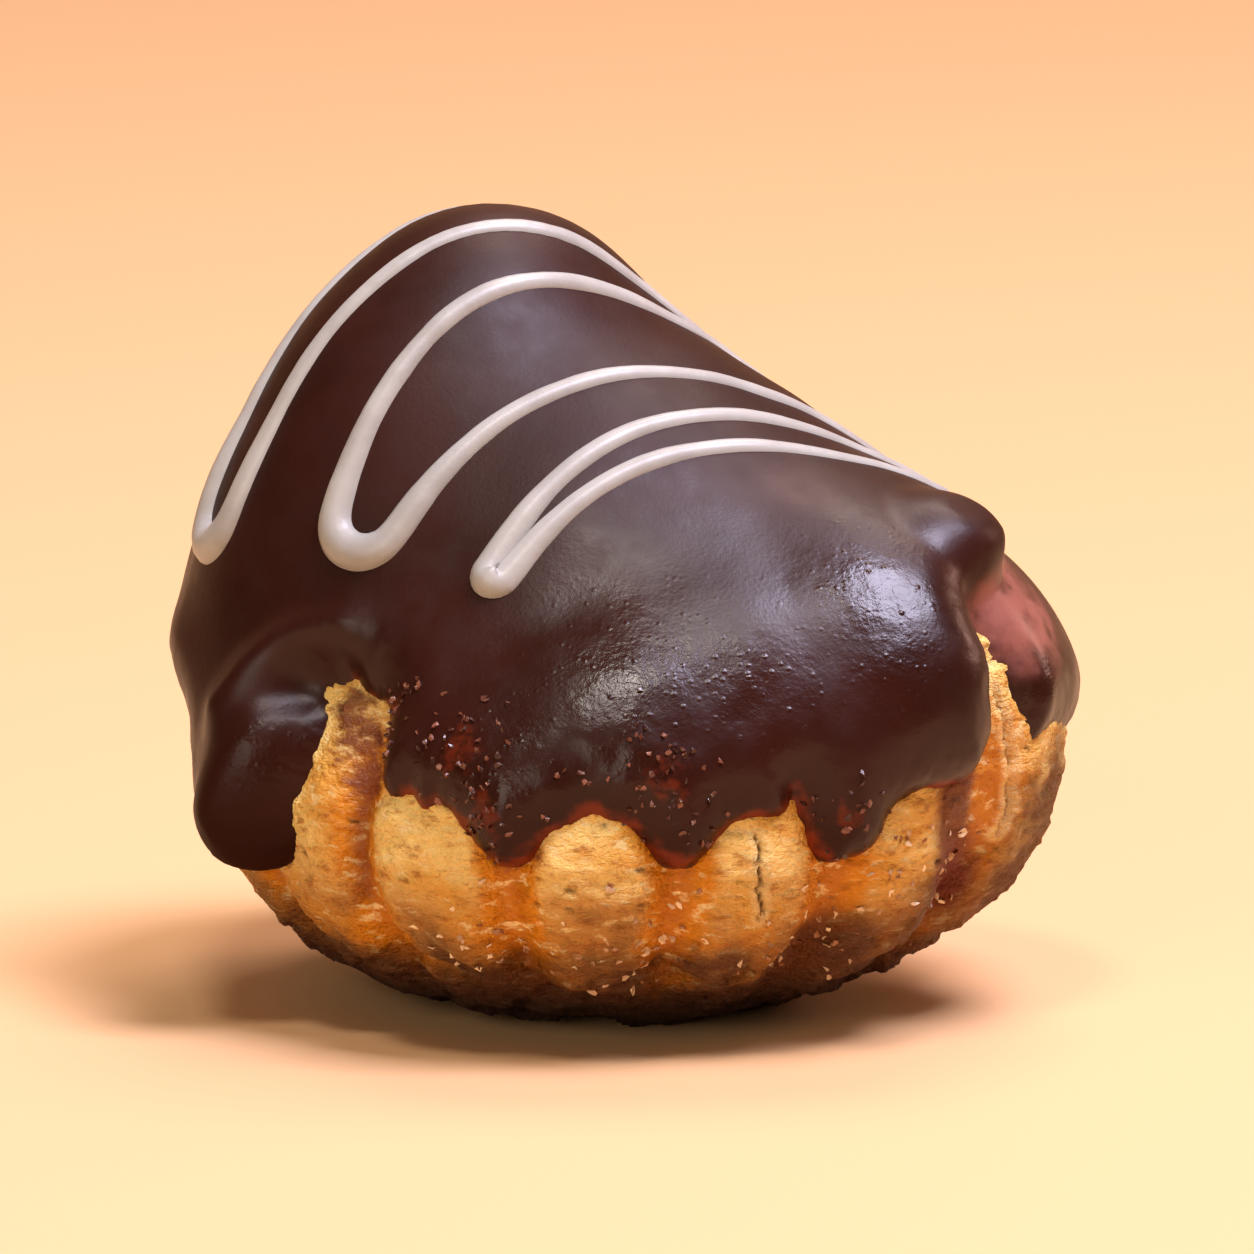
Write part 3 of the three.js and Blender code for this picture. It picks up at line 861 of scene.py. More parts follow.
def poured_coat_tree(values):
    """A poured coat over a bun: a rounded, ragged lip at its edge, slow waves and small dents above."""
    tree, entry, leave = new_tree("Poured coat", values)
    position = add_node(tree, "GeometryNodeInputPosition")
    kinds = {
        "cover": "FLOAT",
        "slack": "FLOAT",
        "swell": "FLOAT",
        "outward": "FLOAT_VECTOR",
        "pull": "FLOAT_VECTOR",
        "outside": "BOOLEAN",
    }
    cover, slack, swell, outward, pull, outside = (
        add_node(tree, "GeometryNodeInputNamedAttribute", {"Name": name}, data_type=kind)
        for name, kind in kinds.items()
    )
    ragged = wander(tree, position, entry["Seed"], entry["Ragged size"], RAGGED_NOISE)
    torn = {0: ragged, 1: entry["Ragged edge"], 2: cover}
    rim = add_node(tree, "ShaderNodeMath", torn, operation="MULTIPLY_ADD")
    mark = {"Geometry": entry["Geometry"], "Name": "rim", "Value": rim}
    marked = add_node(tree, "GeometryNodeStoreNamedAttribute", mark, data_type="FLOAT")
    below = add_node(tree, "ShaderNodeMath", {0: entry["Root"], 1: -1.0}, operation="MULTIPLY")
    reach = add_node(tree, "ShaderNodeMath", {0: entry["Lip reach"], 1: slack}, operation="MULTIPLY")
    ends = {"Value": rim, "From Min": below, "From Max": reach, "To Min": 1.0, "To Max": 0.0}
    inward = add_node(tree, "ShaderNodeMapRange", ends)
    squared = add_node(tree, "ShaderNodeMath", {0: inward, 1: 2.0}, operation="POWER")
    rest = add_node(tree, "ShaderNodeMath", {0: 1.0, 1: squared}, operation="SUBTRACT")
    lip = add_node(tree, "ShaderNodeMath", {0: rest}, operation="SQRT")
    full = add_node(tree, "ShaderNodeMath", {0: entry["Thickness"], 1: swell}, operation="ADD")
    deep = add_node(tree, "ShaderNodeMath", {0: full, 1: entry["Root depth"]}, operation="ADD")
    for kind, noise in (("Wave", WAVE_NOISE), ("Dimple", EVEN_NOISE)):
        wave = wander(tree, position, entry["Seed"], entry[kind + " size"], noise)
        waved = {0: wave, 1: entry[kind + " height"], 2: deep}
        deep = add_node(tree, "ShaderNodeMath", waved, operation="MULTIPLY_ADD")
    raised = add_node(tree, "ShaderNodeMath", {0: deep, 1: lip}, operation="MULTIPLY")
    rise = add_node(tree, "ShaderNodeMath", {0: raised, 1: entry["Root depth"]}, operation="SUBTRACT")
    offset = add_node(tree, "ShaderNodeVectorMath", {0: outward, "Scale": rise}, operation="SCALE")
    pulled = add_node(tree, "ShaderNodeVectorMath", {0: offset, 1: pull}, operation="ADD")
    move = {"Geometry": marked, "Selection": outside, "Offset": pulled}
    moved = add_node(tree, "GeometryNodeSetPosition", move)
    finish_tree(tree, leave, moved, entry["Chocolate"])
    return tree


def piped_line_tree(values):
    """A line piped onto the coat: it follows the route, lies on the coat and swells where it slows."""
    tree, entry, leave = new_tree("Piped line", values)
    route = add_node(tree, "GeometryNodeMeshToCurve", {"Mesh": entry["Geometry"]})
    sections = {"Curve": route, "Length": entry["Step"]}
    even = add_node(tree, "GeometryNodeResampleCurve", sections, mode="LENGTH")
    coat = add_node(tree, "GeometryNodeObjectInfo", {"Object": entry["Coat"]}).outputs["Geometry"]
    nearest = add_node(tree, "GeometryNodeProximity", {0: coat}, target_element="FACES")
    normal = add_node(tree, "GeometryNodeInputNormal")
    skin = {"Mesh": coat, "Value": normal}
    outward = add_node(tree, "GeometryNodeSampleNearestSurface", skin, data_type="FLOAT_VECTOR")
    depth = add_node(tree, "ShaderNodeMath", {0: entry["Sink"], 1: -1.0}, operation="MULTIPLY")
    sunk = add_node(tree, "ShaderNodeVectorMath", {0: outward, "Scale": depth}, operation="SCALE")
    move = {"Geometry": even, "Position": nearest, "Offset": sunk}
    laid = add_node(tree, "GeometryNodeSetPosition", move)
    position = add_node(tree, "GeometryNodeInputPosition")
    change = wander(tree, position, entry["Seed"], entry["Wobble size"])
    wobbled = {0: change, 1: entry["Wobble"], 2: 1.0}
    varied = add_node(tree, "ShaderNodeMath", wobbled, operation="MULTIPLY_ADD")
    bead = add_node(tree, "GeometryNodeInputNamedAttribute", {"Name": "bead"}, data_type="FLOAT")
    width = add_node(tree, "ShaderNodeMath", {0: bead, 1: varied}, operation="MULTIPLY")
    circle = {"Resolution": NOZZLE_SIDES, "Radius": 1.0}
    nozzle = add_node(tree, "GeometryNodeCurvePrimitiveCircle", circle)
    swept = {"Curve": laid, "Profile Curve": nozzle, "Scale": width, "Fill Caps": True}
    line = add_node(tree, "GeometryNodeCurveToMesh", swept)
    finish_tree(tree, leave, line, entry["White"])
    return tree


def scattered_bits_tree(values):
    """Small broken bits lying where the surface's loose attribute says, turned and sized at random."""
    tree, entry, leave = new_tree("Scattered bits", values)
    surface = add_node(tree, "GeometryNodeObjectInfo", {"Object": entry["Surface"]}).outputs["Geometry"]
    loose = add_node(tree, "GeometryNodeInputNamedAttribute", {"Name": "loose"}, data_type="FLOAT")
    density = add_node(tree, "ShaderNodeMath", {0: loose, 1: entry["Density"]}, operation="MULTIPLY")
    strewn = {"Mesh": surface, "Density": density, "Seed": entry["Seed"]}
    spots = add_node(tree, "GeometryNodeDistributePointsOnFaces", strewn)
    grain = add_node(tree, "GeometryNodeMeshIcoSphere", {"Radius": 1.0, "Subdivisions": 1})
    ends = {"Min": entry["Smallest"], "Max": entry["Largest"], "Seed": entry["Seed"]}
    size = add_node(tree, "FunctionNodeRandomValue", ends, data_type="FLOAT_VECTOR")
    swings = []
    for most in (entry["Tilt"], entry["Shift"]):
        least = add_node(tree, "ShaderNodeVectorMath", {0: most, "Scale": -1.0}, operation="SCALE")
        ends = {"Min": least, "Max": most, "Seed": entry["Seed"]}
        swings.append(add_node(tree, "FunctionNodeRandomValue", ends, data_type="FLOAT_VECTOR"))
    tipped, knocked = swings
    turn = {0: spots.outputs["Rotation"], 1: tipped}
    turned = add_node(tree, "FunctionNodeRotateRotation", turn, rotation_space="LOCAL")
    copies = {"Points": spots, "Instance": grain, "Rotation": turned, "Scale": size}
    bits = add_node(tree, "GeometryNodeInstanceOnPoints", copies)
    shade = add_node(tree, "FunctionNodeRandomValue", {"Seed": entry["Seed"]}, data_type="FLOAT")
    mark = {"Geometry": bits, "Name": "shade", "Value": shade}
    marked = add_node(
        tree, "GeometryNodeStoreNamedAttribute", mark, data_type="FLOAT", domain="INSTANCE"
    )
    real = add_node(tree, "GeometryNodeRealizeInstances", {"Geometry": marked})
    jagged = add_node(tree, "GeometryNodeSetPosition", {"Geometry": real, "Offset": knocked})
    finish = {"Geometry": jagged, "Material": entry["Material"]}
    fill_inputs(tree, leave, {"Geometry": add_node(tree, "GeometryNodeSetMaterial", finish)})
    return tree


def new_material(name):
    """A material with only its shader, the tree to add to, and the piece's own coordinates."""
    material = bpy.data.materials.new(name)
    material.use_nodes = True
    tree = material.node_tree
    tree.nodes.clear()
    shader = add_node(tree, "ShaderNodeBsdfPrincipled")
    add_node(tree, "ShaderNodeOutputMaterial", {"Surface": shader})
    place = add_node(tree, "ShaderNodeTexCoord").outputs["Object"]
    return material, tree, shader, place


def painted(tree, base, layers):
    """A colour laid over with others, each where its mask goes from none to most of it."""
    for mask, none, most, share, over in layers:
        ends = {"Value": mask, "From Min": none, "From Max": most, "To Max": share}
        amount = add_node(tree, "ShaderNodeMapRange", ends, **SOFT)
        base = add_node(tree, "ShaderNodeMix", {"Factor": amount, "A": base, "B": over}, **COLOUR)
    return base


def baked_choux_crust(settings):
    """Baked choux pastry, piped and oven dried: matte pale crowns with burst bubbles and fine wrinkles,
    deeper orange and a little oily in the grooves, browned and scaly at the foot. Painted shade darkens
    the grooves, the furrows, the cracks, the pits, the very bottom and the right end, and a painted
    highlight lies on the crack lips."""
    crown_roughness = 0.6
    groove_roughness = 0.34
    smear_gloss = 0.3
    patch_weight = 0.9
    fleck_weight = 3.0
    material, tree, shader, place = new_material("baked_choux_crust")
    marks = ("groove", "pit", "crack", "lip", "smear", "toast", "furrow")
    groove, pit, crack, lip, smear, toast, furrow = (
        add_node(tree, "ShaderNodeAttribute", attribute_name=mark).outputs["Fac"] for mark in marks
    )
    height = add_node(tree, "ShaderNodeSeparateXYZ", {"Vector": place}).outputs["Z"]
    flatter = (1.0, 1.0, CRUST_LAYERING)
    layered = add_node(tree, "ShaderNodeVectorMath", {0: place, 1: flatter}, operation="MULTIPLY")
    noises = (
        {"Vector": place, "Scale": cycles(settings.patch_size), "Detail": 5.0},
        {"Vector": layered, "Scale": cycles(settings.fleck_size), "Detail": 5.0, "Roughness": 0.62},
        {"Vector": place, "Scale": cycles(settings.grit_size), "Detail": 3.0},
    )
    patch, fleck, grit = (add_node(tree, "ShaderNodeTexNoise", noise) for noise in noises)
    moved = {0: patch, 1: settings.patch_drift, 2: height}
    drift = add_node(tree, "ShaderNodeMath", moved, operation="MULTIPLY_ADD")
    streak = add_node(tree, "ShaderNodeMath", {0: smear, 1: fleck}, operation="MULTIPLY")
    patched = {0: patch, 1: patch_weight, 2: groove}
    valley = add_node(tree, "ShaderNodeMath", patched, operation="MULTIPLY_ADD")
    # Browning from the toasted patches, and painted shade on the right end, broken up by the patches.
    burnt_and_shaded = add_node(tree, "ShaderNodeMath", {0: toast, 1: patch}, operation="MULTIPLY")
    layers = (
        (patch, 0.42, 0.60, 0.9, settings.gold),
        (drift, 13.2 * MM, 9.4 * MM, 0.75, settings.caramel),
        # The valleys and the deep grooves: partly the crust's colour, partly painted shade.
        (valley, 0.42, 0.95, 0.95, settings.orange),
        (groove, 0.50, 1.00, 0.6, settings.groove),
        (fleck, 0.53, 0.68, 0.65, settings.groove),
        (fleck, 0.46, 0.32, 0.9, settings.cream),
        (burnt_and_shaded, 0.10, 0.42, 0.85, settings.brown),
        (drift, 10.8 * MM, 6.8 * MM, 0.92, settings.brown),
        # Darkest at the very bottom: browning, and painted shade at the table.
        (height, 3.8 * MM, 0.6 * MM, 0.85, settings.dark),
        # Painted shade in the furrows.
        (furrow, 0.05, 0.75, 0.9, settings.furrow),
        # A painted highlight on the crack lips, and painted shade in the pits and cracks.
        (lip, 0.25, 0.80, 0.5, settings.cream),
        (pit, 0.10, 0.90, 0.6, settings.dark),
        (crack, 0.35, 0.90, 0.5, settings.dark),
        (streak, 0.16, 0.48, 0.85, settings.smear),
    )
    ends = {"Value": groove, "From Max": 0.7, "To Min": crown_roughness, "To Max": groove_roughness}
    dry = add_node(tree, "ShaderNodeMapRange", ends, **SOFT)
    wetted = {0: smear, 1: -smear_gloss, 2: dry}
    wet = add_node(tree, "ShaderNodeMath", wetted, operation="MULTIPLY_ADD")
    flecked = {0: fleck, 1: fleck_weight, 2: grit}
    rough = add_node(tree, "ShaderNodeMath", flecked, operation="MULTIPLY_ADD")
    calm = add_node(tree, "ShaderNodeMapRange", {"Value": groove, "To Min": 1.0, "To Max": GROOVE_CALM})
    relief = add_node(tree, "ShaderNodeMath", {0: rough, 1: calm}, operation="MULTIPLY")
    bump = {"Height": relief, "Distance": settings.grit_depth, "Strength": 1.0}
    looks = {
        "Base Color": painted(tree, settings.pale, layers),
        "Roughness": wet,
        "Normal": add_node(tree, "ShaderNodeBump", bump),
        "IOR": 1.45,
        "Specular IOR Level": 0.36,
        "Subsurface Weight": 0.12,
        "Subsurface Radius": (1.0, 0.45, 0.18),
        "Subsurface Scale": 0.9 * MM,
    }
    fill_inputs(tree, shader, looks)
    return material


def set_dark_couverture(settings):
    """Dark chocolate, poured and left to set: satin, with a fine grain that breaks up its highlights,
    coarser in patches, and a red glow where the coat runs out thin. The lobe is red-brown with a painted
    reflection of the pale backdrop, fading out lower down."""
    dull_range = {"From Min": 0.3, "From Max": 0.7, "To Min": 0.32, "To Max": 0.42}
    dry_roughness = 0.1
    heavy_roughness = 0.1
    grainy_gloss = 0.14
    grain_weight = 0.14
    usual_sheen = 0.28
    dry_sheen = 0.18
    low_share = 0.45
    heavy_share = 0.4
    material, tree, shader, place = new_material("set_dark_couverture")
    marks = ("rim", "thin", "heavy", "grainy", "loose")
    rim, thin, heavy, grainy, loose = (
        add_node(tree, "ShaderNodeAttribute", attribute_name=mark).outputs["Fac"] for mark in marks
    )
    height = add_node(tree, "ShaderNodeSeparateXYZ", {"Vector": place}).outputs["Z"]
    noises = (
        {"Vector": place, "Scale": cycles(settings.flow_size), "Detail": 3.0},
        {"Vector": place, "Scale": cycles(settings.blotch_size), "Detail": 4.0},
        {"Vector": place, "Scale": cycles(settings.grain_size), "Detail": 3.0},
        {"Vector": place, "Scale": cycles(settings.crinkle_size), "Detail": 4.0, "Roughness": 0.6},
    )
    flow, blotch, grain, crinkle = (add_node(tree, "ShaderNodeTexNoise", noise) for noise in noises)

    # Grainy patches are crinkled and bear beads of many heights, and all the skin has a fine grain.
    spread = {"Vector": place, "Scale": cycles(settings.bead_size)}
    beads = add_node(tree, "ShaderNodeTexVoronoi", spread).outputs
    ends = {"Value": beads["Distance"], "From Min": 0.45, "From Max": 0.05}
    bead = add_node(tree, "ShaderNodeMapRange", ends, **SOFT)
    chance = add_node(tree, "ShaderNodeSeparateColor", {"Color": beads["Color"]})
    grown = add_node(tree, "ShaderNodeMapRange", {"Value": chance, "From Min": 0.6, "To Max": 0.5})
    sized = add_node(tree, "ShaderNodeMath", {0: bead, 1: grown, 2: crinkle}, operation="MULTIPLY_ADD")
    rough = add_node(tree, "ShaderNodeMath", {0: sized, 1: grainy}, operation="MULTIPLY")
    grained = {0: grain, 1: grain_weight, 2: rough}
    relief = add_node(tree, "ShaderNodeMath", grained, operation="MULTIPLY_ADD")

    # Thin chocolate shows under the crumbs and along the edge except at the heavy drip; the lobe shows
    # thin red-brown chocolate with a painted reflection of the pale backdrop.
    inside, outside = (distance * MM for distance in THIN_RIM)
    ends = {"Value": rim, "From Min": inside, "From Max": outside}
    edge = add_node(tree, "ShaderNodeMapRange", ends, **SOFT)
    broken = add_node(tree, "ShaderNodeMath", {0: edge, 1: blotch}, operation="MULTIPLY")
    ends = {"Value": heavy, "From Min": 0.3, "From Max": 0.05}
    light = add_node(tree, "ShaderNodeMapRange", ends, **SOFT)
    lightly = add_node(tree, "ShaderNodeMath", {0: broken, 1: light}, operation="MULTIPLY")
    # The lobe's painted reflection of the pale backdrop, fading out lower down and broken up by
    # blotches.
    low, high = (level * MM for level in LOBE_REFLECTION_RISE)
    ends = {"Value": height, "From Min": low, "From Max": high}
    raised = add_node(tree, "ShaderNodeMapRange", ends, **SOFT)
    glow = add_node(tree, "ShaderNodeMath", {0: thin, 1: raised}, operation="MULTIPLY")
    uneven = add_node(tree, "ShaderNodeMath", {0: glow, 1: blotch}, operation="MULTIPLY")
    crumbly = add_node(tree, "ShaderNodeMath", {0: loose, 1: crinkle}, operation="MULTIPLY")
    layers = (
        (flow, 0.36, 0.64, 1.0, settings.warm),
        (lightly, 0.30, 0.56, 0.7, settings.thin),
        (crumbly, 0.36, 0.60, 0.4, settings.thin),
        (uneven, 0.10, 0.56, 0.9, settings.lobe),
    )

    # Blotches, the dry top and the heavy drip are duller, and grainy patches are glossier.
    dull = add_node(tree, "ShaderNodeMapRange", {"Value": blotch, **dull_range})
    low, high = (level * MM for level in DRY_TOP)
    ends = {"Value": height, "From Min": low, "From Max": high, "To Max": dry_roughness}
    drier = add_node(tree, "ShaderNodeMapRange", ends, **SOFT)
    satin = add_node(tree, "ShaderNodeMath", {0: dull, 1: drier}, operation="ADD")
    weighed = {0: heavy, 1: heavy_roughness, 2: satin}
    duller = add_node(tree, "ShaderNodeMath", weighed, operation="MULTIPLY_ADD")
    polished = {0: grainy, 1: -grainy_gloss, 2: duller}
    glossed = add_node(tree, "ShaderNodeMath", polished, operation="MULTIPLY_ADD")

    # The sheen is weaker at the dry top, near the table and on the heavy drip.
    ends = {"Value": drier, "From Max": dry_roughness, "To Min": usual_sheen, "To Max": dry_sheen}
    top_sheen = add_node(tree, "ShaderNodeMapRange", ends)
    low, high = (level * MM for level in LOW_SHEEN)
    ends = {"Value": height, "From Min": low, "From Max": high, "To Min": low_share}
    low_sheen = add_node(tree, "ShaderNodeMapRange", ends, **SOFT)
    ends = {"Value": heavy, "To Min": 1.0, "To Max": heavy_share}
    drip_sheen = add_node(tree, "ShaderNodeMapRange", ends)
    held = add_node(tree, "ShaderNodeMath", {0: low_sheen, 1: drip_sheen}, operation="MULTIPLY")
    sheen = add_node(tree, "ShaderNodeMath", {0: top_sheen, 1: held}, operation="MULTIPLY")
    bump = {"Height": relief, "Distance": settings.grain_depth, "Strength": 0.9}
    looks = {
        "Base Color": painted(tree, settings.body, layers),
        "Roughness": glossed,
        "Normal": add_node(tree, "ShaderNodeBump", bump),
        "IOR": 1.5,
        "Specular IOR Level": sheen,
    }
    fill_inputs(tree, shader, looks)
    return material


def set_white_chocolate(settings):
    """White chocolate, piped and left to set: a smooth satin bead, creamy, slightly see-through."""
    dull_range = {"From Min": 0.3, "From Max": 0.7, "To Min": 0.32, "To Max": 0.44}
    material, tree, shader, place = new_material("set_white_chocolate")
    noises = (
        {"Vector": place, "Scale": cycles(settings.cloud_size), "Detail": 3.0},
        {"Vector": place, "Scale": cycles(settings.grain_size), "Detail": 2.0},
    )
    cloud, grain = (add_node(tree, "ShaderNodeTexNoise", noise) for noise in noises)
    bump = {"Height": grain, "Distance": settings.grain_depth, "Strength": 0.6}
    looks = {
        "Base Color": painted(tree, settings.white, ((cloud, 0.35, 0.7, 1.0, settings.shade),)),
        "Roughness": add_node(tree, "ShaderNodeMapRange", {"Value": cloud, **dull_range}),
        "Normal": add_node(tree, "ShaderNodeBump", bump),
        "IOR": 1.46,
        "Subsurface Weight": 0.15,
        "Subsurface Radius": (1.0, 0.8, 0.55),
        "Subsurface Scale": 0.5 * MM,
    }
    fill_inputs(tree, shader, looks)
    return material


def crumb_finish(settings, name, darkest, lightest, rough):
    """The finish of small broken bits, each its own shade between two colours."""
    material, tree, shader, place = new_material(name)
    shade = add_node(tree, "ShaderNodeAttribute", attribute_name="shade").outputs["Fac"]
    noise = {"Vector": place, "Scale": cycles(settings.grain_size), "Detail": 2.0}
    grain = add_node(tree, "ShaderNodeTexNoise", noise)
    bump = {"Height": grain, "Distance": settings.grain_depth, "Strength": 0.8}
    between = {"Factor": shade, "A": darkest, "B": lightest}
    looks = {
        "Base Color": add_node(tree, "ShaderNodeMix", between, **COLOUR),
        "Roughness": rough,
        "Normal": add_node(tree, "ShaderNodeBump", bump),
        "IOR": 1.46,
    }
    fill_inputs(tree, shader, looks)
    return material


def snapped_couverture(settings):
    """Dark chocolate, snapped into crumbs: fresh broken faces that glint, near black to red brown."""
    return crumb_finish(settings, "snapped_couverture", settings.crumb_dark, settings.crumb_light, 0.25)


def flaked_choux_crust(settings):
    """Baked choux crust, flaked off dry: thin splinters with a dull face, from brown to pale gold."""
    return crumb_finish(settings, "flaked_choux_crust", settings.flake_dark, settings.flake_light, 0.4)


def pale_card(settings):
    """Painted card, rolled flat: an even pale surface with no gloss."""
    material, tree, shader, place = new_material("pale_card")
    noise = {"Vector": place, "Scale": cycles(settings.tooth_size), "Detail": 2.0}
    tooth = add_node(tree, "ShaderNodeTexNoise", noise)
    bump = {"Height": tooth, "Distance": settings.tooth_depth, "Strength": 0.3}
    looks = {
        "Base Color": settings.floor,
        "Roughness": 0.7,
        "Normal": add_node(tree, "ShaderNodeBump", bump),
        "IOR": 1.4,
    }
    fill_inputs(tree, shader, looks)
    return material


def keep_piece(piece, slot, *nodes):
    """Rides a finished piece on the part and hides the solids that it stands for."""
    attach(piece, BODY)
    if nodes:
        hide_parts(*nodes)


def choux_base():
    """The bun's smooth surface, finely split where it shows, with what the relief needs to know."""
    polars = steps(CHOUX_ROWS)
    azimuths = np.linspace(-180.0, 180.0, CHOUX_COLUMNS, endpoint=False)
    all_azimuths = np.concatenate(([0.0], np.tile(azimuths, len(polars)), [0.0]))
    all_polars = np.concatenate(([0.0], np.repeat(polars, len(azimuths)), [180.0]))
    points = bun_points(all_azimuths, all_polars)
    piece = add_mesh("choux", points, wrap_faces(len(polars), len(azimuths)))
    add_attribute(piece, "outward", bun_normals(points))
    # Cracks: their relief, painted shade in them, and a painted highlight on their lips.
    add_attribute(piece, "crack", line_share(points, CRACKS, CRACK_HALF_WIDTH))
    add_attribute(piece, "lip", line_share(points, CRACKS, LIP_HALF_WIDTH))
    add_attribute(piece, "smear", patch_share(points, SMEARS))
    # Furrows: a dent, and painted shade in it.
    furrow = np.zeros(len(points))
    for darkness, half_width, line in FURROWS:
        furrow = np.maximum(furrow, darkness * line_share(points, (line,), half_width))
    add_attribute(piece, "furrow", furrow)
    # Toasted patches, and painted shade on the right end.
    add_attribute(piece, "toast", patch_share(points, TOAST_AND_SHADE_PATCHES))
    add_attribute(piece, "loose", patch_share(points, FLAKE_PATCHES))
    return piece


def coat_base():
    """The bun's surface down past the coat's lowest drip, then back up inside the bun."""
    azimuths = np.linspace(-180.0, 180.0, COAT_COLUMNS, endpoint=False)
    away = side_points(azimuths, np.full_like(azimuths, COAT_FOOT)) - HEART
    foot_polars = np.degrees(np.arctan2(np.hypot(away[:, 0], away[:, 1]), away[:, 2]))
    outer = [share * foot_polars for share in steps(COAT_SHARES)]
    inner = [share * foot_polars for share in steps(((0.0, 1.0, COAT_INNER_ROWS),))[::-1]]
    rows = outer + inner
    all_azimuths = np.concatenate(([0.0], np.tile(azimuths, len(rows)), [0.0]))
    all_polars = np.concatenate(([0.0], *rows, [0.0]))
    points = bun_points(all_azimuths, all_polars)
    normals = bun_normals(points)
    outside = np.arange(len(points)) <= len(outer) * COAT_COLUMNS
    placed = np.where(outside[:, None], points, points - COAT_INNER_DEPTH * normals)
    piece = add_mesh("chocolate_coat", placed, wrap_faces(len(rows), COAT_COLUMNS))
    lobe = lobe_share(points)
    knob = knob_share(points)
    drip = drip_share(points)
    swell = DRIP_SWELL["height"] * drip + KNOB["rise"] * knob - LOBE["drop"] * lobe * (1.0 - knob)
    swell += SHOULDER_RISE * shoulder_share(points) * (1.0 - lobe)
    swell += FOLD_RISE * line_share(points, (FOLD,), FOLD_HALF_WIDTH)
    for *place, rise in SWELLS:
        swell += rise * patch_share(points, (place,))
    add_attribute(piece, "outward", normals)
    add_attribute(piece, "outside", outside)
    add_attribute(piece, "cover", edge_cover(points) * MM)
    add_attribute(piece, "swell", swell * MM)
    add_attribute(piece, "pull", knob[:, None] * KNOB_LEAN * MM)
    # Where the lobe's painted reflection of the pale backdrop lies.
    add_attribute(piece, "thin", lobe * (1.0 - smooth(azimuth_of(points), *LOBE_REFLECTION_END)))
    add_attribute(piece, "grainy", patch_share(points, GRAINY))
    add_attribute(piece, "heavy", np.maximum(drip, patch_share(points, DULL)))
    add_attribute(piece, "slack", 1.0 - DRIP_STEEPNESS * np.minimum(drip / STEEP_SHARE, 1.0))
    add_attribute(piece, "loose", patch_share(points, CRUMB_PATCHES) * outside)
    return piece


def on_coat(offsets, angles, thickness):
    """Points on the coat by offset across the strokes and angle up from the far horizon."""
    along = level_direction(np.array(STROKE_TURN))
    across = level_direction(np.array(STROKE_TURN + 90.0))
    starts = HEART + offsets[:, None] * across
    rise = np.radians(angles)[:, None]
    hits = bun_hits(starts, np.cos(rise) * along + np.sin(rise) * np.array((0.0, 0.0, 1.0)))
    return hits + thickness * bun_normals(hits)


def eased(values):
    """Values along the zigzag, each evened out with its neighbours, the two ends held."""
    count = 2 * EASE_POINTS + 1
    held = np.pad(values, EASE_POINTS, mode="edge")
    return np.convolve(held, np.full(count, 1.0 / count), mode="valid")


def zigzag_route(line, blob):
    """Offsets, angles and half widths along the zigzag, strokes to and fro with half turns between."""
    offsets, angles, beads = [], [], []
    for index, (near_offset, far_offset, near_angle, far_angle, bow) in enumerate(STROKES):
        towards = index % 2 == 0
        share = np.linspace(0.0, 1.0, STROKE_POINTS)
        nearness = share if towards else 1.0 - share
        offsets.append(blend(far_offset, near_offset, nearness) + bow * np.sin(math.pi * nearness))
        angles.append(blend(far_angle, near_angle, nearness))
        swelling = SWELL_SHARE * smooth(nearness, SWELL_FROM, 1.0)
        beads.append(blend(FAR_SHARE * line, line, nearness) + (blob - line) * swelling)
        if index + 1 < len(STROKES):
            following = STROKES[index + 1]
            swing = np.linspace(0.0, math.pi, TURN_POINTS + 2)[1:-1]
            share = (1.0 - np.cos(swing)) / 2.0
            start, end = (near_offset, following[0]) if towards else (far_offset, following[1])
            first, last = (near_angle, following[2]) if towards else (far_angle, following[3])
            reach = abs(end - start) * (TURN_REACH if towards else -TURN_REACH)
            offsets.append(blend(start, end, share))
            angles.append(blend(first, last, share) + reach * np.sin(swing))
            swollen = blend(line, blob, blend(SWELL_SHARE, 1.0, np.sin(swing)))
            beads.append(swollen if towards else np.full(len(swing), FAR_SHARE * line))
    widths = eased(np.concatenate(beads))
    widths[:len(END_SHARES)] = line * np.array(END_SHARES)
    widths[-len(END_SHARES):] = line * np.array(END_SHARES[::-1])
    return eased(np.concatenate(offsets)), eased(np.concatenate(angles)), widths


def aim(item, target, azimuth, rise, distance):
    """Stands a light or the camera away from a target and turns it to look there; azimuth nought is in
    front."""
    level = math.cos(rise)
    back = Vector((math.sin(azimuth) * level, -math.cos(azimuth) * level, math.sin(rise)))
    item.location = target + back * distance
    item.rotation_mode = "QUATERNION"
    item.rotation_quaternion = (-back).to_track_quat("-Z", "Y")
    bpy.context.scene.collection.objects.link(item)


def labelled(settings, *names):
    """Some of a group's settings by the labels that a user sees, which are also the tree's inputs."""
    return {settings.bl_rna.properties[name].name: getattr(settings, name) for name in names}


class PROFITEROLE_OT_choux(bpy.types.Operator):
    """Make the baked choux bun"""

    bl_idname = "profiterole.choux"
    bl_label = "Choux"

    def execute(self, context):
        settings = context.scene.profiterole.choux
        values = labelled(
            settings,
            "rib_depth",
            "lump_height",
            "lump_size",
            "wrinkle_height",
            "wrinkle_size",
            "pit_depth",
            "pit_size",
            "crack_depth",
            "scale_height",
            "scale_size",
            "seed",
        )
        values["Crust"] = baked_choux_crust(settings)
        piece = choux_base()
        run_tree(piece, baked_relief_tree(values), values)
        keep_piece(piece, "baked_choux", "choux_bun")
        return {"FINISHED"}


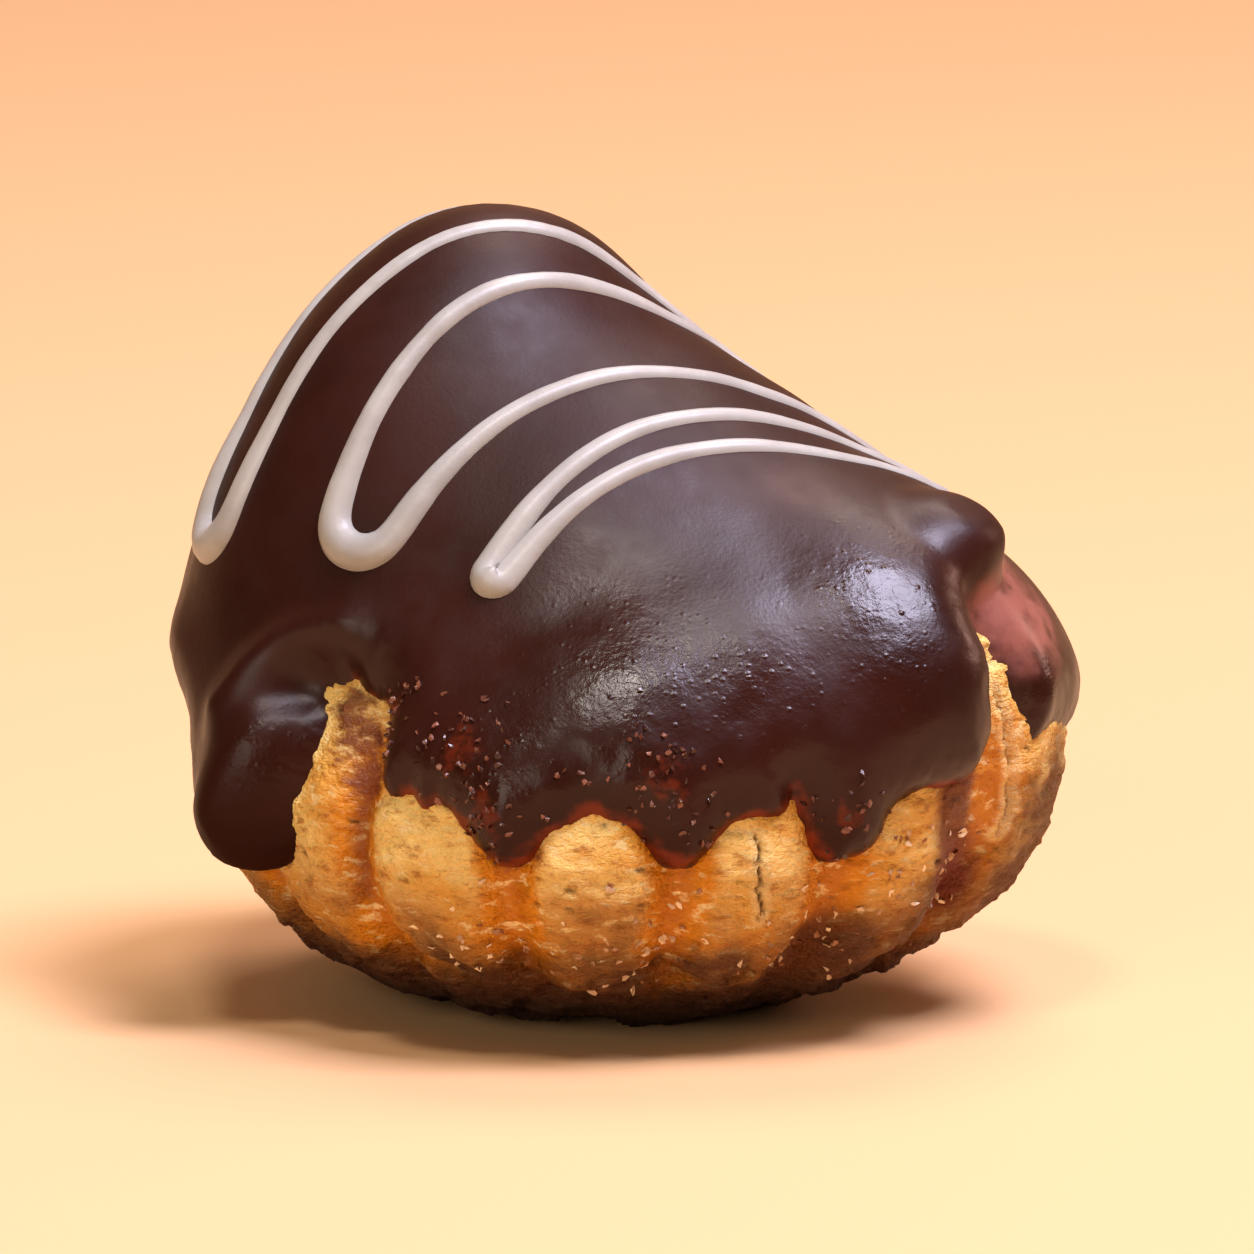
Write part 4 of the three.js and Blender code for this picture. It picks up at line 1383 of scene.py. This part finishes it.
class PROFITEROLE_OT_coat(bpy.types.Operator):
    """Pour the dark chocolate coat"""

    bl_idname = "profiterole.coat"
    bl_label = "Chocolate coat"

    def execute(self, context):
        settings = context.scene.profiterole.coat
        values = labelled(
            settings,
            "thickness",
            "root",
            "root_depth",
            "lip_reach",
            "ragged",
            "ragged_size",
            "wave_height",
            "wave_size",
            "dimple_height",
            "dimple_size",
            "seed",
        )
        values["Chocolate"] = set_dark_couverture(settings)
        piece = coat_base()
        run_tree(piece, poured_coat_tree(values), values)
        keep_piece(piece, "dark_chocolate", "chocolate_icing")
        return {"FINISHED"}


class PROFITEROLE_OT_drizzle(bpy.types.Operator):
    """Pipe the white chocolate zigzag over the coat"""

    bl_idname = "profiterole.drizzle"
    bl_label = "White zigzag"

    def execute(self, context):
        settings = context.scene.profiterole.drizzle
        thickness = context.scene.profiterole.coat.thickness / MM
        values = labelled(settings, "sink", "step", "wobble", "wobble_size", "seed")
        values["Coat"] = bpy.data.objects["chocolate_coat"]
        values["White"] = set_white_chocolate(settings)
        offsets, angles, beads = zigzag_route(settings.line_radius, settings.blob_radius)
        points = on_coat(offsets, angles, thickness)
        edges = [(index, index + 1) for index in range(len(points) - 1)]
        piece = add_mesh("white_zigzag", points, (), edges)
        add_attribute(piece, "bead", beads)
        run_tree(piece, piped_line_tree(values), values)
        keep_piece(piece, "white_chocolate", "chocolate_icing")
        return {"FINISHED"}


class PROFITEROLE_OT_crumbs(bpy.types.Operator):
    """Scatter crumbs on the coat and flakes on the crust"""

    bl_idname = "profiterole.crumbs"
    bl_label = "Crumbs and flakes"

    def execute(self, context):
        settings = context.scene.profiterole.crumbs
        crumbs = {
            "Surface": bpy.data.objects["chocolate_coat"],
            "Density": settings.crumb_density,
            "Tilt": (CRUMB_TILT, CRUMB_TILT, math.pi),
            "Seed": settings.seed,
            "Material": snapped_couverture(settings),
        }
        flakes = {
            "Surface": bpy.data.objects["choux"],
            "Density": settings.flake_density,
            "Tilt": (FLAKE_TILT, FLAKE_TILT, math.pi),
            "Seed": settings.seed,
            "Material": flaked_choux_crust(settings),
        }
        self.scatter("chocolate_crumbs", "dark_chocolate", settings.crumb_size, CRUMB_SHAPE, crumbs)
        self.scatter("crust_flakes", "baked_choux", settings.flake_size, FLAKE_SHAPE, flakes)
        return {"FINISHED"}

    def scatter(self, name, slot, size, shape, values):
        """One piece of bits up to the given size, in the given shape."""
        largest = tuple(size * side for side in shape)
        values["Smallest"] = tuple(SMALLEST_BIT * side for side in largest)
        values["Largest"] = largest
        values["Shift"] = (BIT_JAGGEDNESS * size,) * 3
        piece = add_mesh(name, np.zeros((1, 3)), ())
        run_tree(piece, scattered_bits_tree(values), values)
        keep_piece(piece, slot)


class PROFITEROLE_OT_stage(bpy.types.Operator):
    """Make the floor, the lights and the camera"""

    bl_idname = "profiterole.stage"
    bl_label = "Stage"

    def execute(self, context):
        settings = context.scene.profiterole.stage
        self.make_floor(settings)
        self.make_lights(context, settings)
        self.make_camera(context, settings)
        return {"FINISHED"}

    def make_floor(self, settings):
        """A floor that curves up behind into a backdrop."""
        profile = [(FLOOR_FRONT, 0.0)]
        for turn in np.linspace(0.0, math.pi / 2.0, BEND_STEPS + 1):
            y = FLOOR_BACK + FLOOR_BEND * math.sin(turn)
            z = FLOOR_BEND * (1.0 - math.cos(turn))
            profile.append((y, z))
        profile.append((FLOOR_BACK + FLOOR_BEND, BACKDROP_TOP))
        points = [(side, y, z) for y, z in profile for side in (-FLOOR_HALF_WIDTH, FLOOR_HALF_WIDTH)]
        faces = [(2 * row, 2 * row + 1, 2 * row + 3, 2 * row + 2) for row in range(len(profile) - 1)]
        mesh = bpy.data.meshes.new("floor")
        mesh.from_pydata(points, (), faces)
        mesh.shade_smooth()
        mesh.materials.append(pale_card(settings))
        floor = bpy.data.objects.new("floor", mesh)
        bpy.context.scene.collection.objects.link(floor)

    def make_lights(self, context, settings):
        """Soft square lights that look at the profiterole, and a soft room."""
        target = Vector((0.0, 0.0, settings.aim_height))
        for name, (azimuth, elevation, distance, width, watts, code) in LIGHTS.items():
            lamp = bpy.data.lights.new(name, "AREA")
            lamp.shape = "SQUARE"
            lamp.size = width
            lamp.energy = watts
            lamp.color = linear(code)
            light = bpy.data.objects.new(name, lamp)
            aim(light, target, math.radians(azimuth), math.radians(elevation), distance)
        world = bpy.data.worlds.new("soft_room")
        world.use_nodes = True
        background = world.node_tree.nodes["Background"]
        background.inputs["Color"].default_value = (*settings.room, 1.0)
        background.inputs["Strength"].default_value = settings.room_strength
        context.scene.world = world
        context.scene.view_settings.view_transform = "Standard"

    def make_camera(self, context, settings):
        """The camera at the photograph's angle, a little above the profiterole."""
        lens = bpy.data.cameras.new("camera")
        lens.lens = settings.lens
        camera = bpy.data.objects.new("camera", lens)
        target = Vector((settings.aim_side, 0.0, settings.aim_height))
        aim(camera, target, 0.0, settings.elevation, settings.distance)
        context.scene.camera = camera


OPERATORS = (
    PROFITEROLE_OT_choux,
    PROFITEROLE_OT_coat,
    PROFITEROLE_OT_drizzle,
    PROFITEROLE_OT_crumbs,
    PROFITEROLE_OT_stage,
)


class PROFITEROLE_PT_panel(bpy.types.Panel):
    """Lists the pieces in the order in which they are made"""

    bl_idname = "PROFITEROLE_PT_panel"
    bl_label = "Profiterole"
    bl_space_type = "VIEW_3D"
    bl_region_type = "UI"
    bl_category = "Profiterole"

    def draw(self, context):
        settings = context.scene.profiterole
        for operator in OPERATORS:
            group = getattr(settings, operator.bl_idname.split(".")[1])
            box = self.layout.box()
            box.operator(operator.bl_idname)
            for name in group.__annotations__:
                box.prop(group, name)


CLASSES = (
    ChouxSettings,
    CoatSettings,
    DrizzleSettings,
    CrumbSettings,
    StageSettings,
    ProfiteroleSettings,
    *OPERATORS,
    PROFITEROLE_PT_panel,
)


def register():
    for item in CLASSES:
        bpy.utils.register_class(item)
    bpy.types.Scene.profiterole = PointerProperty(type=ProfiteroleSettings)


def unregister():
    del bpy.types.Scene.profiterole
    for item in reversed(CLASSES):
        bpy.utils.unregister_class(item)


def main():
    register()
    bpy.ops.profiterole.choux()
    bpy.ops.profiterole.coat()
    bpy.ops.profiterole.drizzle()
    bpy.ops.profiterole.crumbs()
    bpy.ops.profiterole.stage()


if __name__ == "__main__":
    main()
